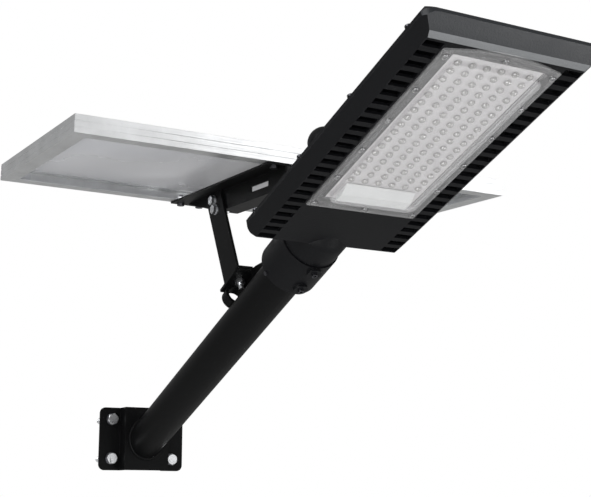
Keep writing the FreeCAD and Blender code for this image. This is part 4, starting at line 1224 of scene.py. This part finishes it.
@dataclass
class SolarPanel(SubAssembly):
    """Bent beam, mitred frame, glass, cells and junction box."""

    beam_edge: float = 0.5 * MM
    rail_edge: float = 0.25 * MM

    def build(self) -> None:
        """Model and dress every piece of the panel."""
        self.skin("panel_beam", "Panel_Beam", self.beam_edge, Finish.BLACK_PAINT, "panel",
                  "black_paint")
        for side, finish in (("front", Finish.RAIL_LONG), ("back", Finish.RAIL_LONG),
                             ("left", Finish.RAIL_SHORT), ("right", Finish.RAIL_SHORT)):
            self.skin(f"rail_{side}", f"Rail_{side.title()}", self.rail_edge, finish, "panel",
                      "anodised")
        self.dress_nodes({
            "beam_bolts": Finish.BLACK_SCREW, "beam_nuts": Finish.ZINC,
            "corner_keys": Finish.BARE_ALUMINIUM, "backsheet": Finish.WHITE_SHEET,
            "solar_cells": Finish.SILICON, "panel_glass": Finish.GLASS,
            "junction_box": Finish.BLACK_PLASTIC, "junction_lid": Finish.BLACK_PLASTIC,
            "junction_gland": Finish.BLACK_PLASTIC,
        })


# ---------------------------------------------------------------- studio

@dataclass(frozen=True)
class SoftLight:
    """One large square light: where it hangs, what it faces, its side and its power."""

    name: str
    place: Place
    target: Place
    size: float
    watts: float

    def hang(self) -> None:
        """Add the light to the scene."""
        lamp = bpy.data.lights.new(self.name, "AREA")
        lamp.shape = "SQUARE"
        lamp.size = self.size
        lamp.energy = self.watts
        holder = bpy.data.objects.new(self.name, lamp)
        bpy.context.scene.collection.objects.link(holder)
        holder.location = self.place
        aim = Vector(self.target) - Vector(self.place)
        holder.rotation_euler = aim.to_track_quat("-Z", "Y").to_euler()


@dataclass
class Studio:
    """Pale floor, white surroundings, soft lights and the camera."""

    floor_level: float = -1.4
    floor_size: float = 30.0
    eye: Place = (1.9589, -0.7730, -0.1066)
    right: Place = (0.4800, 0.8770, 0.0)
    up: Place = (0.1800, -0.0986, 0.9790)
    lens: float = 74.17
    sensor: float = 36.0
    nearest: float = 0.05
    ambience: float = 0.34
    lights: tuple[SoftLight, ...] = (
        SoftLight("Key_Light", (1.6, -2.6, 2.0), (0.6, 0.0, 0.2), size=1.6, watts=60.0),
        SoftLight("Low_Light", (2.4, -1.6, -1.1), (0.7, 0.0, 0.2), size=1.6, watts=70.0),
        SoftLight("Rail_Light", (2.9, 1.5, 1.0), (0.4, 0.0, 0.3), size=1.6, watts=15.0),
        SoftLight("Edge_Light", (2.15, 1.49, -1.25), (1.02, 0.0, 0.35), size=0.7, watts=26.0),
    )

    def build(self) -> None:
        """Set up the floor, the surroundings, the lights and the camera."""
        self.floor()
        self.surroundings()
        for light in self.lights:
            light.hang()
        self.camera()

    def floor(self) -> None:
        """Lay the floor well below the lamp."""
        Bench.clear()
        bpy.ops.mesh.primitive_plane_add(size=self.floor_size, location=(0, 0, self.floor_level))
        floor = bpy.context.active_object
        floor.name = "Floor"
        coat = Coat("Pale Floor")
        coat.set(Base_Color=(0.86, 0.86, 0.85, 1.0), Roughness=0.8)
        floor.data.materials.append(coat.material)

    def surroundings(self) -> None:
        """Make surroundings that look white and light the lamp more dimly."""
        world = bpy.data.worlds.new("Studio")
        bpy.context.scene.world = world
        world.use_nodes = True
        nodes = Recipe(world.node_tree)
        seen = world.node_tree.nodes["Background"]
        seen.inputs["Color"].default_value = WHITE
        around = nodes.add("ShaderNodeBackground", Color=WHITE, Strength=self.ambience)
        path = nodes.add("ShaderNodeLightPath")
        either = nodes.add("ShaderNodeMixShader")
        nodes.link(path.outputs["Is Camera Ray"], either.inputs[0])
        nodes.link(around.outputs[0], either.inputs[1])
        nodes.link(seen.outputs[0], either.inputs[2])
        nodes.link(either.outputs[0], world.node_tree.nodes["World Output"].inputs["Surface"])
        bpy.context.scene.view_settings.view_transform = "Standard"

    def camera(self) -> None:
        """Place the camera below and in front of the lamp head."""
        data = bpy.data.cameras.new("Camera")
        data.lens = self.lens
        data.sensor_width = self.sensor
        data.clip_start = self.nearest
        camera = bpy.data.objects.new("Camera", data)
        bpy.context.scene.collection.objects.link(camera)
        right = Vector(self.right).normalized()
        up = Vector(self.up).normalized()
        back = right.cross(up).normalized()
        up = back.cross(right)
        turn = Matrix((right, up, back)).transposed()
        camera.matrix_world = Matrix.Translation(self.eye) @ turn.to_4x4()
        bpy.context.scene.camera = camera


def main() -> None:
    """Build the lamp's looks around the frame, then the studio."""
    logging.basicConfig(level=logging.INFO, format="%(message)s")
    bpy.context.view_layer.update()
    palette = Palette(Effects())
    for part in (WallMount(palette), LampHead(palette), PanelLink(palette), SolarPanel(palette)):
        part.build()
    Studio().build()
    bpy.context.view_layer.update()


if __name__ == "__main__":
    main()
